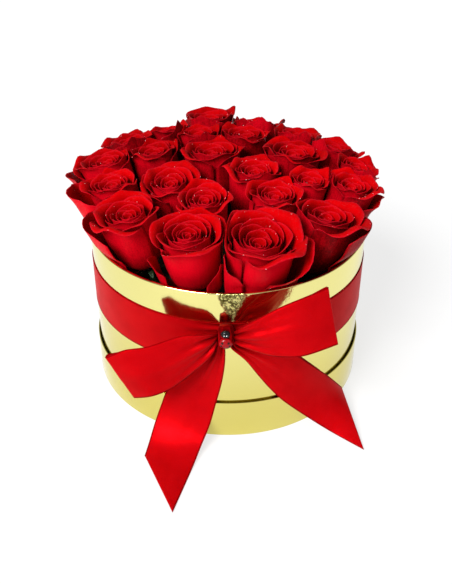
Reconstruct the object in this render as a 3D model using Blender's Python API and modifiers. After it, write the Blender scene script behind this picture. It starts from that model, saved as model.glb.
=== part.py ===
"""A round foil hat box packed with red roses, tied with a satin ribbon and bow.

The box body stands in its own lid, which is set underneath it as a tray. Inside are a
waterproof liner, a block of floral foam and the rose stems. Millimetres are written as
numbers times MM; the origin is on the table, at the centre of the box.
"""

import math
import random

import bmesh
import bpy
from mathutils import Matrix, Vector

MM = 0.001
CLEAR = 0.3 * MM

# The box, its lid used as a tray, and what the box holds.
BOX_RADIUS = 110 * MM
BOX_TOP = 133 * MM
CARD = 2.5 * MM
TRAY_WALL = 1.5 * MM
TRAY_FLOOR = 2.2 * MM
TRAY_TOP = 33.4 * MM
LINER_FILM = 0.6 * MM
LINER_TOP = 101 * MM
FOAM_TOP = 98 * MM
RIM_ROUNDING = 0.4 * MM
SIDES = 48

# The ribbon round the box, and the bow on it.
RIBBON = 38 * MM
SATIN = 0.8 * MM
BAND_MIDDLE = 89.7 * MM
KNOT_MIDDLE = 102.5 * MM
KNOT_SIZE = (11.6 * MM, 8 * MM, 18 * MM)
KNOT_BACK = 112.8 * MM
KNOT_ROUNDING = 3.2 * MM
GATHER = math.radians(15)
GATHER_SHARE = 0.52
GATHER_RISE = 7.5 * MM
LADYBIRD = (5.2 * MM, 3.2 * MM, 4.5 * MM)
LADYBIRD_HEAD = (3.4 * MM, 2.6 * MM, 3.1 * MM)
LADYBIRD_DROP = 3.8 * MM

# Every rose leans as if it grew from one point far below the box. A bloom stays inside
# the walls to its neighbours, which all meet at that point, and inside the box's rim.
FOCUS = Vector((0, 0, -135 * MM))
HEART_EDGE = 165.5 * MM
HEART_MOUND = 5.5 * MM
HEART_RISE_TO_BACK = 0.08
BLOOM_GAP = 0.65 * MM
BLOOM_REACH = 131 * MM
BLOOM_DEPTH = 22 * MM
RIM_CLEARANCE = 105 * MM
RIM_LEVEL = BOX_TOP + 1.5 * MM
RIM_FLARE = 1.5
FREE_SHARE = 0.78

# One bloom: ten petals in a wall that winds outwards from the heart.
PETALS = 10
PETAL_COLUMNS = 5
TURN_COLUMNS = 13
FULLNESS = 1.22
HEART_TIGHTNESS = 1.15
HEART_START = 1.6 * MM
RIM_WALL = 1.0 * MM
RIM_CROWN = 3.0 * MM
GROOVE_DEPTH = 10 * MM
PETAL_OVERLAP = 1.8 * MM
PETAL_TIP = 4.4 * MM
PETAL_DROOP = 2.4 * MM
PETAL_ROLL = 3.6 * MM
LEVELLING = 0.55
BELLY_LEVEL = 0.66
BELLY_SHARE = 0.93
CUP_LEVEL = 0.32
CUP_SHARE = 0.78
CUP_FOOT = 4.6 * MM

# One stem: five sepals over a stem with five sides, in a plain hole of the foam.
STEM_RADIUS = 2.6 * MM
STEM_HOLE = 3.4 * MM
STEM_END = 56 * MM
SEPALS = 5
SEPAL_TIP = (9.5 * MM, -2.6 * MM)
SEPAL_NOTCH = (4.4 * MM, -0.6 * MM)
SEPAL_FILM = 0.9 * MM
HIP = (3.9 * MM, -7 * MM)
HIP_END = -12 * MM

# The florist's plan: each rose's distance from the middle in mm, its bearing in degrees
# from the right-hand side towards the back, and how wide it has opened in mm.
PLAN = {
    "a": (91, 217, 52), "b": (84, 251, 56), "c": (88, 285, 62), "d": (91, 323, 56),
    "e": (46, 192, 47), "f": (41, 245, 45), "g": (46, 320, 48), "h": (63, 352, 38),
    "i": (96, 354, 46), "j": (91, 188, 46), "k": (103, 166, 52), "l": (72, 150, 46),
    "m": (38, 112, 54), "n": (21, 10, 46), "o": (64, 34, 56), "p": (103, 32, 50),
    "q": (67, 79, 48), "r": (72, 111, 42), "s": (103, 145, 50), "t": (99, 124, 50),
    "u": (104, 100, 52), "v": (99, 76, 50), "w": (92, 51, 48), "x": (106, 12, 42),
}


def material(name, colour, roughness, metallic=0.0):
    """A Principled material of one colour."""
    made = bpy.data.materials.new(name)
    made.use_nodes = True
    shader = made.node_tree.nodes["Principled BSDF"]
    shader.inputs["Base Color"].default_value = (*colour, 1)
    shader.inputs["Roughness"].default_value = roughness
    shader.inputs["Metallic"].default_value = metallic
    made.diffuse_color = (*colour, 1)
    return made


def new_object(name, mesh, collection, finish=None):
    """An object of a mesh, in a collection."""
    made = bpy.data.objects.new(name, mesh)
    collection.objects.link(made)
    if finish:
        mesh.materials.append(finish)
    return made


def from_bmesh(name, shape, collection, finish=None):
    """Ends a bmesh and makes an object of it."""
    mesh = bpy.data.meshes.new(name)
    bmesh.ops.recalc_face_normals(shape, faces=shape.faces)
    shape.to_mesh(mesh)
    shape.free()
    mesh.shade_smooth()
    mesh.set_sharp_from_angle(angle=math.radians(40))
    return new_object(name, mesh, collection, finish)


def on_wall(degrees, radius, z):
    """A point round the box: degrees run from the front to the right-hand side."""
    angle = math.radians(degrees)
    return Vector((radius * math.sin(angle), -radius * math.cos(angle), z))


def turned(name, profile, collection, finish):
    """A profile of (radius, height) pairs turned round the box's axis."""
    shape = bmesh.new()
    points = [shape.verts.new((radius, 0, height)) for radius, height in profile]
    for first, second in zip(points, points[1:]):
        shape.edges.new((first, second))
    mesh = bpy.data.meshes.new(name)
    shape.to_mesh(mesh)
    shape.free()
    made = new_object(name, mesh, collection, finish)
    screw = made.modifiers.new("turn", "SCREW")
    screw.steps = screw.render_steps = SIDES
    screw.use_merge_vertices = True
    screw.merge_threshold = 0.00001
    screw.use_smooth_shade = True
    return made


def make_box(collection, foil):
    """The box body and the lid that serves as its tray."""
    bottom = TRAY_FLOOR + CLEAR
    body = [
        (0, bottom + CARD),
        (BOX_RADIUS - CARD, bottom + CARD),
        (BOX_RADIUS - CARD, BOX_TOP - RIM_ROUNDING),
        (BOX_RADIUS - CARD + RIM_ROUNDING, BOX_TOP),
        (BOX_RADIUS - RIM_ROUNDING, BOX_TOP),
        (BOX_RADIUS, BOX_TOP - RIM_ROUNDING),
        (BOX_RADIUS, bottom),
        (0, bottom),
    ]
    inside = BOX_RADIUS + CLEAR
    tray = [
        (0, TRAY_FLOOR),
        (inside, TRAY_FLOOR),
        (inside, TRAY_TOP),
        (inside + TRAY_WALL, TRAY_TOP),
        (inside + TRAY_WALL, 0),
        (0, 0),
    ]
    turned("box_body", body, collection, foil)
    turned("lid_tray", tray, collection, foil)


def make_filling(collection, helpers, film, foam_green, roses):
    """The liner, and the foam with a plain hole for every stem."""
    floor = TRAY_FLOOR + CLEAR + CARD + CLEAR
    outside = BOX_RADIUS - CARD - CLEAR
    inside = outside - LINER_FILM
    liner = [
        (0, floor + LINER_FILM),
        (inside, floor + LINER_FILM),
        (inside, LINER_TOP),
        (outside, LINER_TOP),
        (outside, floor),
        (0, floor),
    ]
    turned("liner", liner, collection, film)
    foam_floor = floor + LINER_FILM + CLEAR
    foam = [(0, FOAM_TOP), (inside - CLEAR, FOAM_TOP), (inside - CLEAR, foam_floor), (0, foam_floor)]
    block = turned("floral_foam", foam, collection, foam_green)
    above, below = 4 * MM, 1 * MM
    for rose in roses:
        shape = bmesh.new()
        length = rose.distance(FOAM_TOP + above) - rose.distance(STEM_END - below)
        bmesh.ops.create_cone(
            shape, cap_ends=True, segments=6, radius1=STEM_HOLE, radius2=STEM_HOLE, depth=length
        )
        hole = from_bmesh("hole_" + rose.name, shape, helpers)
        hole.location = rose.at(rose.distance(FOAM_TOP + above) - length / 2)
        hole.rotation_mode = "QUATERNION"
        hole.rotation_quaternion = rose.turn
        hole.display_type = "WIRE"
        hole.hide_render = True
    drill = block.modifiers.new("stem holes", "BOOLEAN")
    drill.operation = "DIFFERENCE"
    drill.operand_type = "COLLECTION"
    drill.collection = helpers
    drill.solver = "EXACT"


class Rose:
    """One rose of the plan: its axis, its size and the space its neighbours leave it."""

    def __init__(self, name, plan):
        radius, bearing, width = plan
        angle = math.radians(bearing)
        x, y = radius * MM * math.cos(angle), radius * MM * math.sin(angle)
        mound = HEART_MOUND * (1 - (radius * MM / BOX_RADIUS) ** 2)
        self.name = name
        self.bearing = angle
        self.heart = Vector((x, y, HEART_EDGE + mound + HEART_RISE_TO_BACK * y))
        self.reach = width * MM / 2
        self.height = BLOOM_DEPTH + self.reach
        arm = self.heart - FOCUS
        self.axis = arm.normalized()
        self.turn = Vector((0, 0, 1)).rotation_difference(self.axis)
        self.lean = math.hypot(x, y) / arm.length
        self.base = arm.length - self.height
        self.slope = Vector((x, y)) / arm.z
        self.walls = []

    def meet(self, others):
        """Notes the wall between this rose and each neighbour, seen from the focus."""
        for other in others:
            if other is self:
                continue
            between = other.slope - self.slope
            share = self.reach / (self.reach + other.reach)
            self.walls.append((between.normalized(), between.length * share))

    def distance(self, z):
        """How far along the axis from the focus a height lies."""
        return (z - FOCUS.z) / self.axis.z

    def at(self, distance):
        """The point of the axis at a distance from the focus."""
        return FOCUS + self.axis * distance

    def place(self, angle, radius, height):
        """A point of the bloom, eased inside the walls to its neighbours and the box's rim."""
        free = Vector((radius * math.cos(angle), radius * math.sin(angle), self.base + height))
        point = FOCUS + self.turn @ free
        rise = point.z - FOCUS.z
        offset = Vector((point.x, point.y)) / rise - self.slope
        if offset.length > 1e-6:
            along = offset.normalized()
            room = min(
                (wall - BLOOM_GAP / rise) / max(along.dot(normal), 1e-3)
                for normal, wall in self.walls
            )
            offset = along * eased(offset.length, room, FREE_SHARE)
        point.x, point.y = (self.slope + offset) * rise
        out = math.hypot(point.x, point.y)
        allowed = RIM_CLEARANCE + RIM_FLARE * max(0, point.z - RIM_LEVEL)
        inward = eased(out, min(allowed, BLOOM_REACH), 0.9) / out
        point.x *= inward
        point.y *= inward
        return point


def eased(value, limit, free):
    """The value itself at first, and then ever closer to the limit, in the same order."""
    share = value / limit
    if share <= free:
        return value
    return limit * (free + (1 - free) * math.tanh((share - free) / (1 - free)))


def rolled_petals(rose, start):
    """All the petals of a bloom as one wall that winds outwards, over the cup they spring from.

    Each petal is a stretch of the wall. It begins a step outside the end of the petal
    before it, rises to a tip in its middle and rolls outwards at its rim. A groove parts
    each turn of the wall from the next.
    """
    shape = bmesh.new()
    last = PETALS * PETAL_COLUMNS - 1
    turn = TURN_COLUMNS
    full = FULLNESS * rose.reach - 0.6 * PETAL_ROLL

    def spread(column):
        """How far out the wall stands at a column."""
        return HEART_START + (full - HEART_START) * (column / last) ** HEART_TIGHTNESS

    inner, outer, groove, columns = [], [], [], []
    for column in range(last + 1):
        across = (column % PETAL_COLUMNS + 0.5) / PETAL_COLUMNS
        angle = start + column * math.tau / turn
        share = column / last
        lobe = 1 - abs(2 * across - 1) ** 1.3
        radius = spread(column) + PETAL_OVERLAP * share * (0.5 - across)
        crown = RIM_CROWN * math.sin(math.pi * share)
        rim = rose.height + crown + share * (PETAL_TIP * lobe - PETAL_DROOP * share**3)
        rim += LEVELLING * rose.lean * radius * math.cos(angle - rose.bearing)
        roll = PETAL_ROLL * share**2 * (0.3 + 0.7 * lobe)
        inner.append(shape.verts.new(rose.place(angle, radius - RIM_WALL / 2, rim)))
        lip = rose.place(angle, radius + RIM_WALL / 2 + roll, rim - 0.4 * roll)
        outer.append(shape.verts.new(lip))
        columns.append((angle, radius))
        if column <= last - turn:
            foot = spread(column) + 0.3 * (spread(column + turn) - spread(column))
            depth = GROOVE_DEPTH * (0.5 + share)
            groove.append(shape.verts.new(rose.place(angle, foot, rim - depth)))
    pit = shape.verts.new(rose.place(start, 0, rose.height - 0.4 * GROOVE_DEPTH))

    # Below the rim of the last turn come the belly of the guard petals, the cup and its foot.
    skirt = [outer[last - turn :]]
    for level in (BELLY_LEVEL, CUP_LEVEL, 0):
        ring = []
        for i, (angle, radius) in enumerate(columns[last - turn :]):
            belly = BELLY_SHARE * radius
            cup = CUP_SHARE * (full + radius) / 2
            foot = CUP_FOOT * (0.9 + 0.1 * i / turn)
            out = {BELLY_LEVEL: belly, CUP_LEVEL: cup, 0: foot}[level]
            ring.append(shape.verts.new(rose.place(angle, out, level * rose.height)))
        skirt.append(ring)

    for step in range(last):
        after = step + 1
        shape.faces.new((inner[step], inner[after], outer[after], outer[step]))
        if after <= last - turn:
            shape.faces.new((outer[step], outer[after], groove[after], groove[step]))
        if after < turn:
            shape.faces.new((pit, inner[after], inner[step]))
        elif after == turn:
            shape.faces.new((pit, groove[0], inner[step]))
            shape.faces.new((groove[0], inner[after], inner[step]))
        else:
            back = step - turn
            shape.faces.new((groove[back], groove[back + 1], inner[after], inner[step]))
    for above, below in zip(skirt, skirt[1:]):
        for i in range(turn):
            shape.faces.new((above[i], above[i + 1], below[i + 1], below[i]))
    shape.faces.new((pit, inner[0], outer[0], groove[0]))
    shape.faces.new((skirt[1][-1], skirt[1][0], skirt[2][0], skirt[2][-1]))
    shape.faces.new((skirt[2][-1], skirt[2][0], skirt[3][0], skirt[3][-1]))
    shape.faces.new((skirt[0][0], groove[-1], skirt[1][0]))
    shape.faces.new((groove[-1], skirt[1][-1], skirt[1][0]))
    shape.faces.new((groove[-1], inner[-1], skirt[1][-1]))
    shape.faces.new((inner[-1], outer[-1], skirt[1][-1]))
    shape.faces.new(skirt[3])
    bmesh.ops.triangulate(shape, faces=shape.faces)
    return shape


def make_bloom(rose, collection, red):
    """One bloom of the plan, turned its own way."""
    start = random.Random("rose " + rose.name).uniform(0, math.tau)
    from_bmesh("rose_bloom_" + rose.name, rolled_petals(rose, start), collection, red)


def make_stem(rose, collection, green):
    """A stem from the calyx under its bloom down into the foam."""
    shape = bmesh.new()
    end = rose.distance(STEM_END) - rose.base
    points = 2 * SEPALS
    star = []
    for drop in (0, SEPAL_FILM):
        ring = []
        for i in range(points):
            radius, height = SEPAL_NOTCH if i % 2 else SEPAL_TIP
            angle = i * math.tau / points
            corner = (radius * math.cos(angle), radius * math.sin(angle), height - drop)
            ring.append(shape.verts.new(corner))
        star.append(ring)
    crown = shape.verts.new((0, 0, 0))
    for i in range(points):
        j = (i + 1) % points
        shape.faces.new((crown, star[0][i], star[0][j]))
        shape.faces.new((star[0][i], star[1][i], star[1][j]))
        shape.faces.new((star[0][i], star[1][j], star[0][j]))
    rings = []
    for radius, height in (HIP, (STEM_RADIUS, HIP_END), (STEM_RADIUS, end)):
        ring = []
        for i in range(SEPALS):
            angle = i * math.tau / SEPALS
            corner = (radius * math.cos(angle), radius * math.sin(angle), height)
            ring.append(shape.verts.new(corner))
        rings.append(ring)
    for i in range(SEPALS):
        tip, notch = star[1][2 * i], star[1][2 * i + 1]
        before = star[1][2 * i - 1]
        j = (i + 1) % SEPALS
        shape.faces.new((tip, before, rings[0][i]))
        shape.faces.new((tip, rings[0][i], notch))
        shape.faces.new((notch, rings[0][i], rings[0][j]))
        for above, below in zip(rings, rings[1:]):
            shape.faces.new((above[i], above[j], below[j], below[i]))
    shape.faces.new(rings[2])
    bmesh.ops.triangulate(shape, faces=shape.faces)
    made = from_bmesh("rose_stem_" + rose.name, shape, collection, green)
    made.location = rose.at(rose.base - CLEAR)
    made.rotation_mode = "QUATERNION"
    made.rotation_quaternion = rose.turn


def make_band(collection, satin):
    """The ribbon round the box, gathered where the bow is tied."""
    shape = bmesh.new()
    sections = []
    for i in range(SIDES):
        angle = i * math.tau / SIDES
        # The front of the box is at three quarters of a turn.
        from_front = (angle - 1.5 * math.pi + math.pi) % math.tau - math.pi
        pull = math.exp(-((from_front / GATHER) ** 2))
        half = RIBBON / 2 * (1 - GATHER_SHARE * pull)
        middle = BAND_MIDDLE + GATHER_RISE * pull
        inside = BOX_RADIUS + CLEAR
        section = []
        for radius, z in (
            (inside, middle - half),
            (inside, middle + half),
            (inside + SATIN, middle + half),
            (inside + SATIN, middle - half),
        ):
            section.append(shape.verts.new((radius * math.cos(angle), radius * math.sin(angle), z)))
        sections.append(section)
    for i, section in enumerate(sections):
        following = sections[(i + 1) % SIDES]
        for k in range(4):
            m = (k + 1) % 4
            shape.faces.new((section[k], following[k], following[m], section[m]))
    bmesh.ops.triangulate(shape, faces=shape.faces)
    from_bmesh("ribbon_band", shape, collection, satin)


def smoothed(points, parts):
    """A Catmull-Rom curve through the points, each stretch in equal parts."""
    path = []
    for i in range(len(points) - 1):
        before = points[max(i - 1, 0)]
        first, second = points[i], points[i + 1]
        after = points[min(i + 2, len(points) - 1)]
        for k in range(parts):
            t = k / parts
            path.append(
                0.5
                * (
                    2 * first
                    + (second - before) * t
                    + (2 * before - 5 * first + 4 * second - after) * t**2
                    + (3 * first - before - 3 * second + after) * t**3
                )
            )
    path.append(points[-1])
    return path


def make_ribbon(name, stations, parts, collection, satin):
    """A strip of ribbon through stations, each with its two edges as (degrees, radius, z)."""
    edges = []
    for side in (0, 1):
        points = [
            on_wall(station[side][0], station[side][1] * MM, station[side][2] * MM)
            for station in stations
        ]
        edges.append(smoothed(points, parts))
    shape = bmesh.new()
    rows = [[shape.verts.new(a), shape.verts.new(b)] for a, b in zip(*edges)]
    for first, second in zip(rows, rows[1:]):
        shape.faces.new((first[0], first[1], second[1]))
        shape.faces.new((first[0], second[1], second[0]))
    strip = from_bmesh(name, shape, collection, satin)
    thick = strip.modifiers.new("satin", "SOLIDIFY")
    thick.thickness = SATIN
    thick.offset = 0
    thick.use_even_offset = True


def make_bow(collection, satin):
    """Two loops, two tails with slanting ends, and the knot."""
    left_loop = [
        ((-3.02, 117, 104.5), (-3.02, 117, 96)),
        ((-8.4, 124, 107.7), (-5.5, 121, 86.2)),
        ((-14.5, 128, 106.8), (-10.8, 127, 74.7)),
        ((-22.7, 140, 101.2), (-16.3, 136.5, 65.3)),
        ((-28.3, 148.5, 98.9), (-20.8, 146, 62.2)),
        ((-32.9, 153.5, 91.2), (-25.9, 148, 57.2)),
        ((-33.5, 152.6, 90.5), (-26.5, 146.9, 56.6)),
        ((-33.3, 150.5, 91.2), (-26.1, 145, 57.3)),
        ((-30.6, 141.5, 90.7), (-22.4, 139, 56.3)),
        ((-25.4, 130, 90.9), (-18.1, 126.5, 57)),
        ((-15.8, 120, 99.2), (-11.8, 119, 68.9)),
        ((-8.9, 119, 102.7), (-5.8, 116, 83.3)),
        ((-3.1, 113.7, 103), (-3.1, 113.7, 95)),
    ]
    right_loop = [
        ((3.02, 117, 105.5), (3.02, 117, 96)),
        ((7.8, 124.5, 118.7), (8.7, 125, 95.7)),
        ((12.6, 126.5, 125.8), (12.6, 131.5, 95.1)),
        ((17, 129, 132.3), (16, 137.5, 96.2)),
        ((23.4, 131, 137.4), (21.9, 145.5, 99.4)),
        ((31.1, 132.5, 141), (30.6, 149.5, 104)),
        ((31.8, 131.5, 140.7), (31.3, 148.5, 103.7)),
        ((31.4, 129.8, 139.7), (30.9, 146.8, 102.7)),
        ((25.3, 124, 130.8), (23.5, 138.5, 94.2)),
        ((18.8, 119.5, 124), (17.6, 128, 89.1)),
        ((13.6, 119, 119.1), (13.5, 124, 90)),
        ((8.2, 119.5, 114), (9.1, 120, 92.8)),
        ((3.1, 113.7, 104), (3.1, 113.7, 95)),
    ]
    left_tail = [
        ((-4.6, 112, 96), (-0.4, 112, 96)),
        ((-5.4, 112, 84), (-0.4, 112, 86)),
        ((-10, 112.2, 69.5), (-0.3, 112.6, 75)),
        ((-15.7, 113, 55), (-1.4, 113.8, 57)),
        ((-22, 115.2, 43.5), (-3.6, 116.5, 37.5)),
        ((-24.4, 119.8, 28), (-5.6, 122, 20.5)),
        ((-25.3, 127.5, 14.5), (-8, 132, 7)),
        ((-25.2, 137, 4), (-9.5, 153, 0.9)),
        ((-24.1, 149, 0.9), (-10.8, 193, 0.9)),
    ]
    right_tail = [
        ((4.6, 112, 96), (0.4, 112, 96)),
        ((5.6, 112.2, 90), (2.2, 112.2, 87.5)),
        ((13.4, 112.4, 84), (7.5, 112.4, 76)),
        ((20.4, 112.6, 80.5), (12.2, 112.8, 61.5)),
        ((27.3, 112.8, 72.5), (16.9, 114.2, 47.5)),
        ((34.1, 113.2, 58.5), (22.4, 117, 33.5)),
        ((43.5, 113.6, 38.8), (30.9, 123, 15.5)),
        ((49.2, 114.4, 25.6), (37.5, 138, 2.6)),
        ((54.5, 116, 12.5), (40.2, 165, 1.1)),
    ]
    make_ribbon("bow_loop_left", left_loop, 2, collection, satin)
    make_ribbon("bow_loop_right", right_loop, 2, collection, satin)
    make_ribbon("bow_tail_left", left_tail, 3, collection, satin)
    make_ribbon("bow_tail_right", right_tail, 3, collection, satin)
    shape = bmesh.new()
    bmesh.ops.create_cube(shape, size=1)
    bmesh.ops.scale(shape, vec=KNOT_SIZE, verts=shape.verts)
    bmesh.ops.translate(
        shape, vec=(0, -KNOT_BACK - KNOT_SIZE[1] / 2, KNOT_MIDDLE), verts=shape.verts
    )
    knot = from_bmesh("bow_knot", shape, collection, satin)
    rounding = knot.modifiers.new("rounding", "BEVEL")
    rounding.width = KNOT_ROUNDING
    rounding.segments = 3


def make_ladybird(collection, red, black):
    """A small wooden ladybird glued on the knot: a domed body and a domed head above it."""
    front = -KNOT_BACK - KNOT_SIZE[1] - CLEAR
    head_height = LADYBIRD[2] + LADYBIRD_HEAD[2] + CLEAR
    for name, size, rise, finish in (
        ("ladybird_body", LADYBIRD, 0, red),
        ("ladybird_head", LADYBIRD_HEAD, head_height, black),
    ):
        shape = bmesh.new()
        pole_forward = Matrix.Rotation(math.pi / 2, 4, "X")
        bmesh.ops.create_uvsphere(
            shape, u_segments=12, v_segments=7, radius=1, matrix=pole_forward
        )
        bmesh.ops.scale(shape, vec=size, verts=shape.verts)
        halves = shape.verts[:] + shape.edges[:] + shape.faces[:]
        cut = bmesh.ops.bisect_plane(
            shape, geom=halves, plane_co=(0, 0, 0), plane_no=(0, 1, 0), clear_outer=True
        )
        rim = [piece for piece in cut["geom_cut"] if isinstance(piece, bmesh.types.BMEdge)]
        bmesh.ops.contextual_create(shape, geom=rim)
        middle = (0, front, KNOT_MIDDLE - LADYBIRD_DROP + rise)
        bmesh.ops.translate(shape, vec=middle, verts=shape.verts)
        from_bmesh(name, shape, collection, finish)


def main():
    """Clears the scene and builds the hat box of roses."""
    for old in list(bpy.data.objects):
        bpy.data.objects.remove(old)
    parts = bpy.data.collections.new("flower_hat_box")
    helpers = bpy.data.collections.new("cutters")
    for collection in (parts, helpers):
        bpy.context.scene.collection.children.link(collection)
    foil = material("gold foil card", (0.83, 0.68, 0.22), 0.15, 1.0)
    satin = material("red satin", (0.72, 0.004, 0.008), 0.35)
    petal_red = material("rose petal", (0.58, 0.0, 0.008), 0.6)
    leaf_green = material("stem green", (0.05, 0.13, 0.03), 0.6)
    foam_green = material("wet foam", (0.02, 0.06, 0.02), 0.9)
    film = material("dark film", (0.01, 0.01, 0.012), 0.3)
    lacquer = material("red lacquer", (0.6, 0.01, 0.01), 0.15)
    black = material("black lacquer", (0.01, 0.01, 0.01), 0.1)

    roses = [Rose(name, plan) for name, plan in PLAN.items()]
    for rose in roses:
        rose.meet(roses)
    make_box(parts, foil)
    make_filling(parts, helpers, film, foam_green, roses)
    make_band(parts, satin)
    make_bow(parts, satin)
    make_ladybird(parts, lacquer, black)
    for rose in roses:
        make_bloom(rose, parts, petal_red)
        make_stem(rose, parts, leaf_green)


main()
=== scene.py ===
"""How the flower hat box looks: foil box, satin ribbon and bow, and 24 open red roses.

Each sub-assembly is a class that holds its sizes, builds its meshes and dresses them. The
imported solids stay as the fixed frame; finer pieces stand for them here. Lengths are in
metres. +Z is up and the bow faces -Y.
"""

import logging
import math
from dataclasses import dataclass, field
from enum import Enum

import bpy  # noqa: E402
import numpy as np  # noqa: E402
from mathutils import Matrix, Vector  # noqa: E402

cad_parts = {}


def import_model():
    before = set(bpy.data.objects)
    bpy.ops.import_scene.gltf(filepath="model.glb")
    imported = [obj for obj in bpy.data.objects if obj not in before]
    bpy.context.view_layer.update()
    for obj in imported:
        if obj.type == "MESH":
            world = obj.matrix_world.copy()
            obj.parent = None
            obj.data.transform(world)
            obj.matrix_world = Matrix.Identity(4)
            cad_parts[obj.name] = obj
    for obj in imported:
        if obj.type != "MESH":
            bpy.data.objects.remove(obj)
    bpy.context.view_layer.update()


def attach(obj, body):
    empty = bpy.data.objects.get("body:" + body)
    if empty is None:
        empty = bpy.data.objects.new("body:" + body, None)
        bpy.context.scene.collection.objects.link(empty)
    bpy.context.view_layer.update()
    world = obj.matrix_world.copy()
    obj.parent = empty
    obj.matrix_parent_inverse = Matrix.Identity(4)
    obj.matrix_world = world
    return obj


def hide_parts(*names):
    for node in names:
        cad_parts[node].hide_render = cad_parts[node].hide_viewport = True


LOG = logging.getLogger("flower_hat_box")
MM = 0.001

# A colour as red, green and blue, and three lengths or numbers of another kind.
Rgb = tuple[float, float, float]
Triple = tuple[float, float, float]

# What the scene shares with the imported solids.
BOX_RADIUS = 110 * MM
BOX_TOP = 133 * MM
RIBBON_WIDTH = 38 * MM


class Slot(Enum):
    """Names of material slots, one for each kind of finer piece."""

    FOIL = "foil_card"
    SATIN = "satin"
    PETALS = "petals"
    STEMS = "stems"
    RED_LACQUER = "red_lacquer"
    BLACK_LACQUER = "black_lacquer"


# Shaders


class Wire:
    """A shader socket that takes part in Python arithmetic."""

    def __init__(self, shade: "Shade", socket: bpy.types.NodeSocket) -> None:
        """Wraps one output socket of a material's node."""
        self.shade = shade
        self.socket = socket

    def maths(self, operation: str, *values: "Wire | float") -> "Wire":
        """Adds a Math node.

        Args:
            operation: The node's operation, such as "ADD".
            values: Its inputs, as wires or numbers.

        Returns:
            The node's result.
        """
        node = self.shade.node("ShaderNodeMath", {"operation": operation}, dict(enumerate(values)))
        return Wire(self.shade, node.outputs[0])

    def __add__(self, other: "Wire | float") -> "Wire":
        """This plus another."""
        return self.maths("ADD", self, other)

    __radd__ = __add__

    def __sub__(self, other: "Wire | float") -> "Wire":
        """This less another."""
        return self.maths("SUBTRACT", self, other)

    def __rsub__(self, other: float) -> "Wire":
        """A number less this."""
        return self.maths("SUBTRACT", other, self)

    def __mul__(self, other: "Wire | float") -> "Wire":
        """This times another."""
        return self.maths("MULTIPLY", self, other)

    __rmul__ = __mul__

    def __pow__(self, power: float) -> "Wire":
        """This to a power."""
        return self.maths("POWER", self, power)

    def ramp(self, low: float, high: float) -> "Wire":
        """A smooth step of this from 0 at low to 1 at high."""
        node = self.shade.node(
            "ShaderNodeMapRange",
            {"interpolation_type": "SMOOTHSTEP"},
            {"Value": self, "From Min": low, "From Max": high, "To Min": 0.0, "To Max": 1.0},
        )
        return Wire(self.shade, node.outputs[0])

    def sine(self) -> "Wire":
        """The sine of this."""
        return self.maths("SINE", self)

    def size(self) -> "Wire":
        """This without its sign."""
        return self.maths("ABSOLUTE", self)


class Shade:
    """A material under construction, with one Principled shader."""

    def __init__(self, name: str) -> None:
        """Starts a material with its shader and output."""
        self.material = bpy.data.materials.new(name)
        self.material.use_nodes = True
        self.tree = self.material.node_tree
        self.shader = self.tree.nodes["Principled BSDF"]

    def feed(self, socket: bpy.types.NodeSocket, value: object) -> None:
        """Links a wire to an input, or sets a value on it. A colour also gets its alpha."""
        if isinstance(value, Wire):
            self.tree.links.new(value.socket, socket)
        elif isinstance(value, tuple) and len(value) == 3 and socket.type == "RGBA":
            socket.default_value = (*value, 1)
        else:
            socket.default_value = value

    def node(
        self, kind: str, settings: dict[str, object] | None = None, inputs: dict | None = None
    ) -> bpy.types.Node:
        """Adds a node.

        Args:
            kind: The node's type.
            settings: Properties of the node, which are set first.
            inputs: Socket name or number to a wire or a value.

        Returns:
            The new node.
        """
        made = self.tree.nodes.new(kind)
        for key, value in (settings or {}).items():
            setattr(made, key, value)
        for key, value in (inputs or {}).items():
            self.feed(made.inputs[key], value)
        return made

    def wire(
        self, kind: str, settings: dict | None = None, inputs: dict | None = None, out: int | str = 0
    ) -> Wire:
        """Adds a node and gives one of its outputs as a wire."""
        return Wire(self, self.node(kind, settings, inputs).outputs[out])

    def place(self) -> Wire:
        """The point of the object, in metres."""
        return self.wire("ShaderNodeTexCoord", out="Object")

    def uv(self) -> Wire:
        """The piece's own UV map."""
        return self.wire("ShaderNodeTexCoord", out="UV")

    def parts_of(self, vector: Wire) -> tuple[Wire, Wire, Wire]:
        """The three numbers of a vector."""
        split = self.node("ShaderNodeSeparateXYZ", None, {0: vector})
        return tuple(Wire(self, split.outputs[i]) for i in range(3))

    def attribute(self, name: str) -> Wire:
        """A number kept on the mesh's vertices."""
        return self.wire("ShaderNodeAttribute", {"attribute_name": name}, out="Fac")

    def noise(
        self, vector: Wire, scale: float, detail: float = 2.0, roughness: float = 0.5
    ) -> Wire:
        """A noise texture's value over a vector."""
        return self.wire(
            "ShaderNodeTexNoise",
            None,
            {"Vector": vector, "Scale": scale, "Detail": detail, "Roughness": roughness},
        )

    def stretched(self, vector: Wire, scale: Triple) -> Wire:
        """A vector scaled along each axis."""
        return self.wire("ShaderNodeMapping", None, {"Vector": vector, "Scale": scale})

    def mix(self, share: Wire | float, first: Wire | tuple, second: Wire | tuple) -> Wire:
        """A colour between two, by a share."""
        node = self.node("ShaderNodeMix", {"data_type": "RGBA"}, {0: share, 6: first, 7: second})
        return Wire(self, node.outputs[2])

    def bump(
        self, height: Wire, depth: float, strength: float = 1.0, under: Wire | None = None
    ) -> Wire:
        """A Bump node's normal, for a height of 0 to 1 that is depth metres high."""
        inputs = {"Height": height, "Distance": depth, "Strength": strength}
        if under is not None:
            inputs["Normal"] = under
        return self.wire("ShaderNodeBump", None, inputs)

    def finish(self, **sockets: object) -> bpy.types.Material:
        """Sets the shader's sockets, named with underscores for spaces, and ends the material."""
        for name, value in sockets.items():
            title = name.replace("_", " ").title().replace("Ior", "IOR")
            self.feed(self.shader.inputs[title], value)
        return self.material


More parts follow.
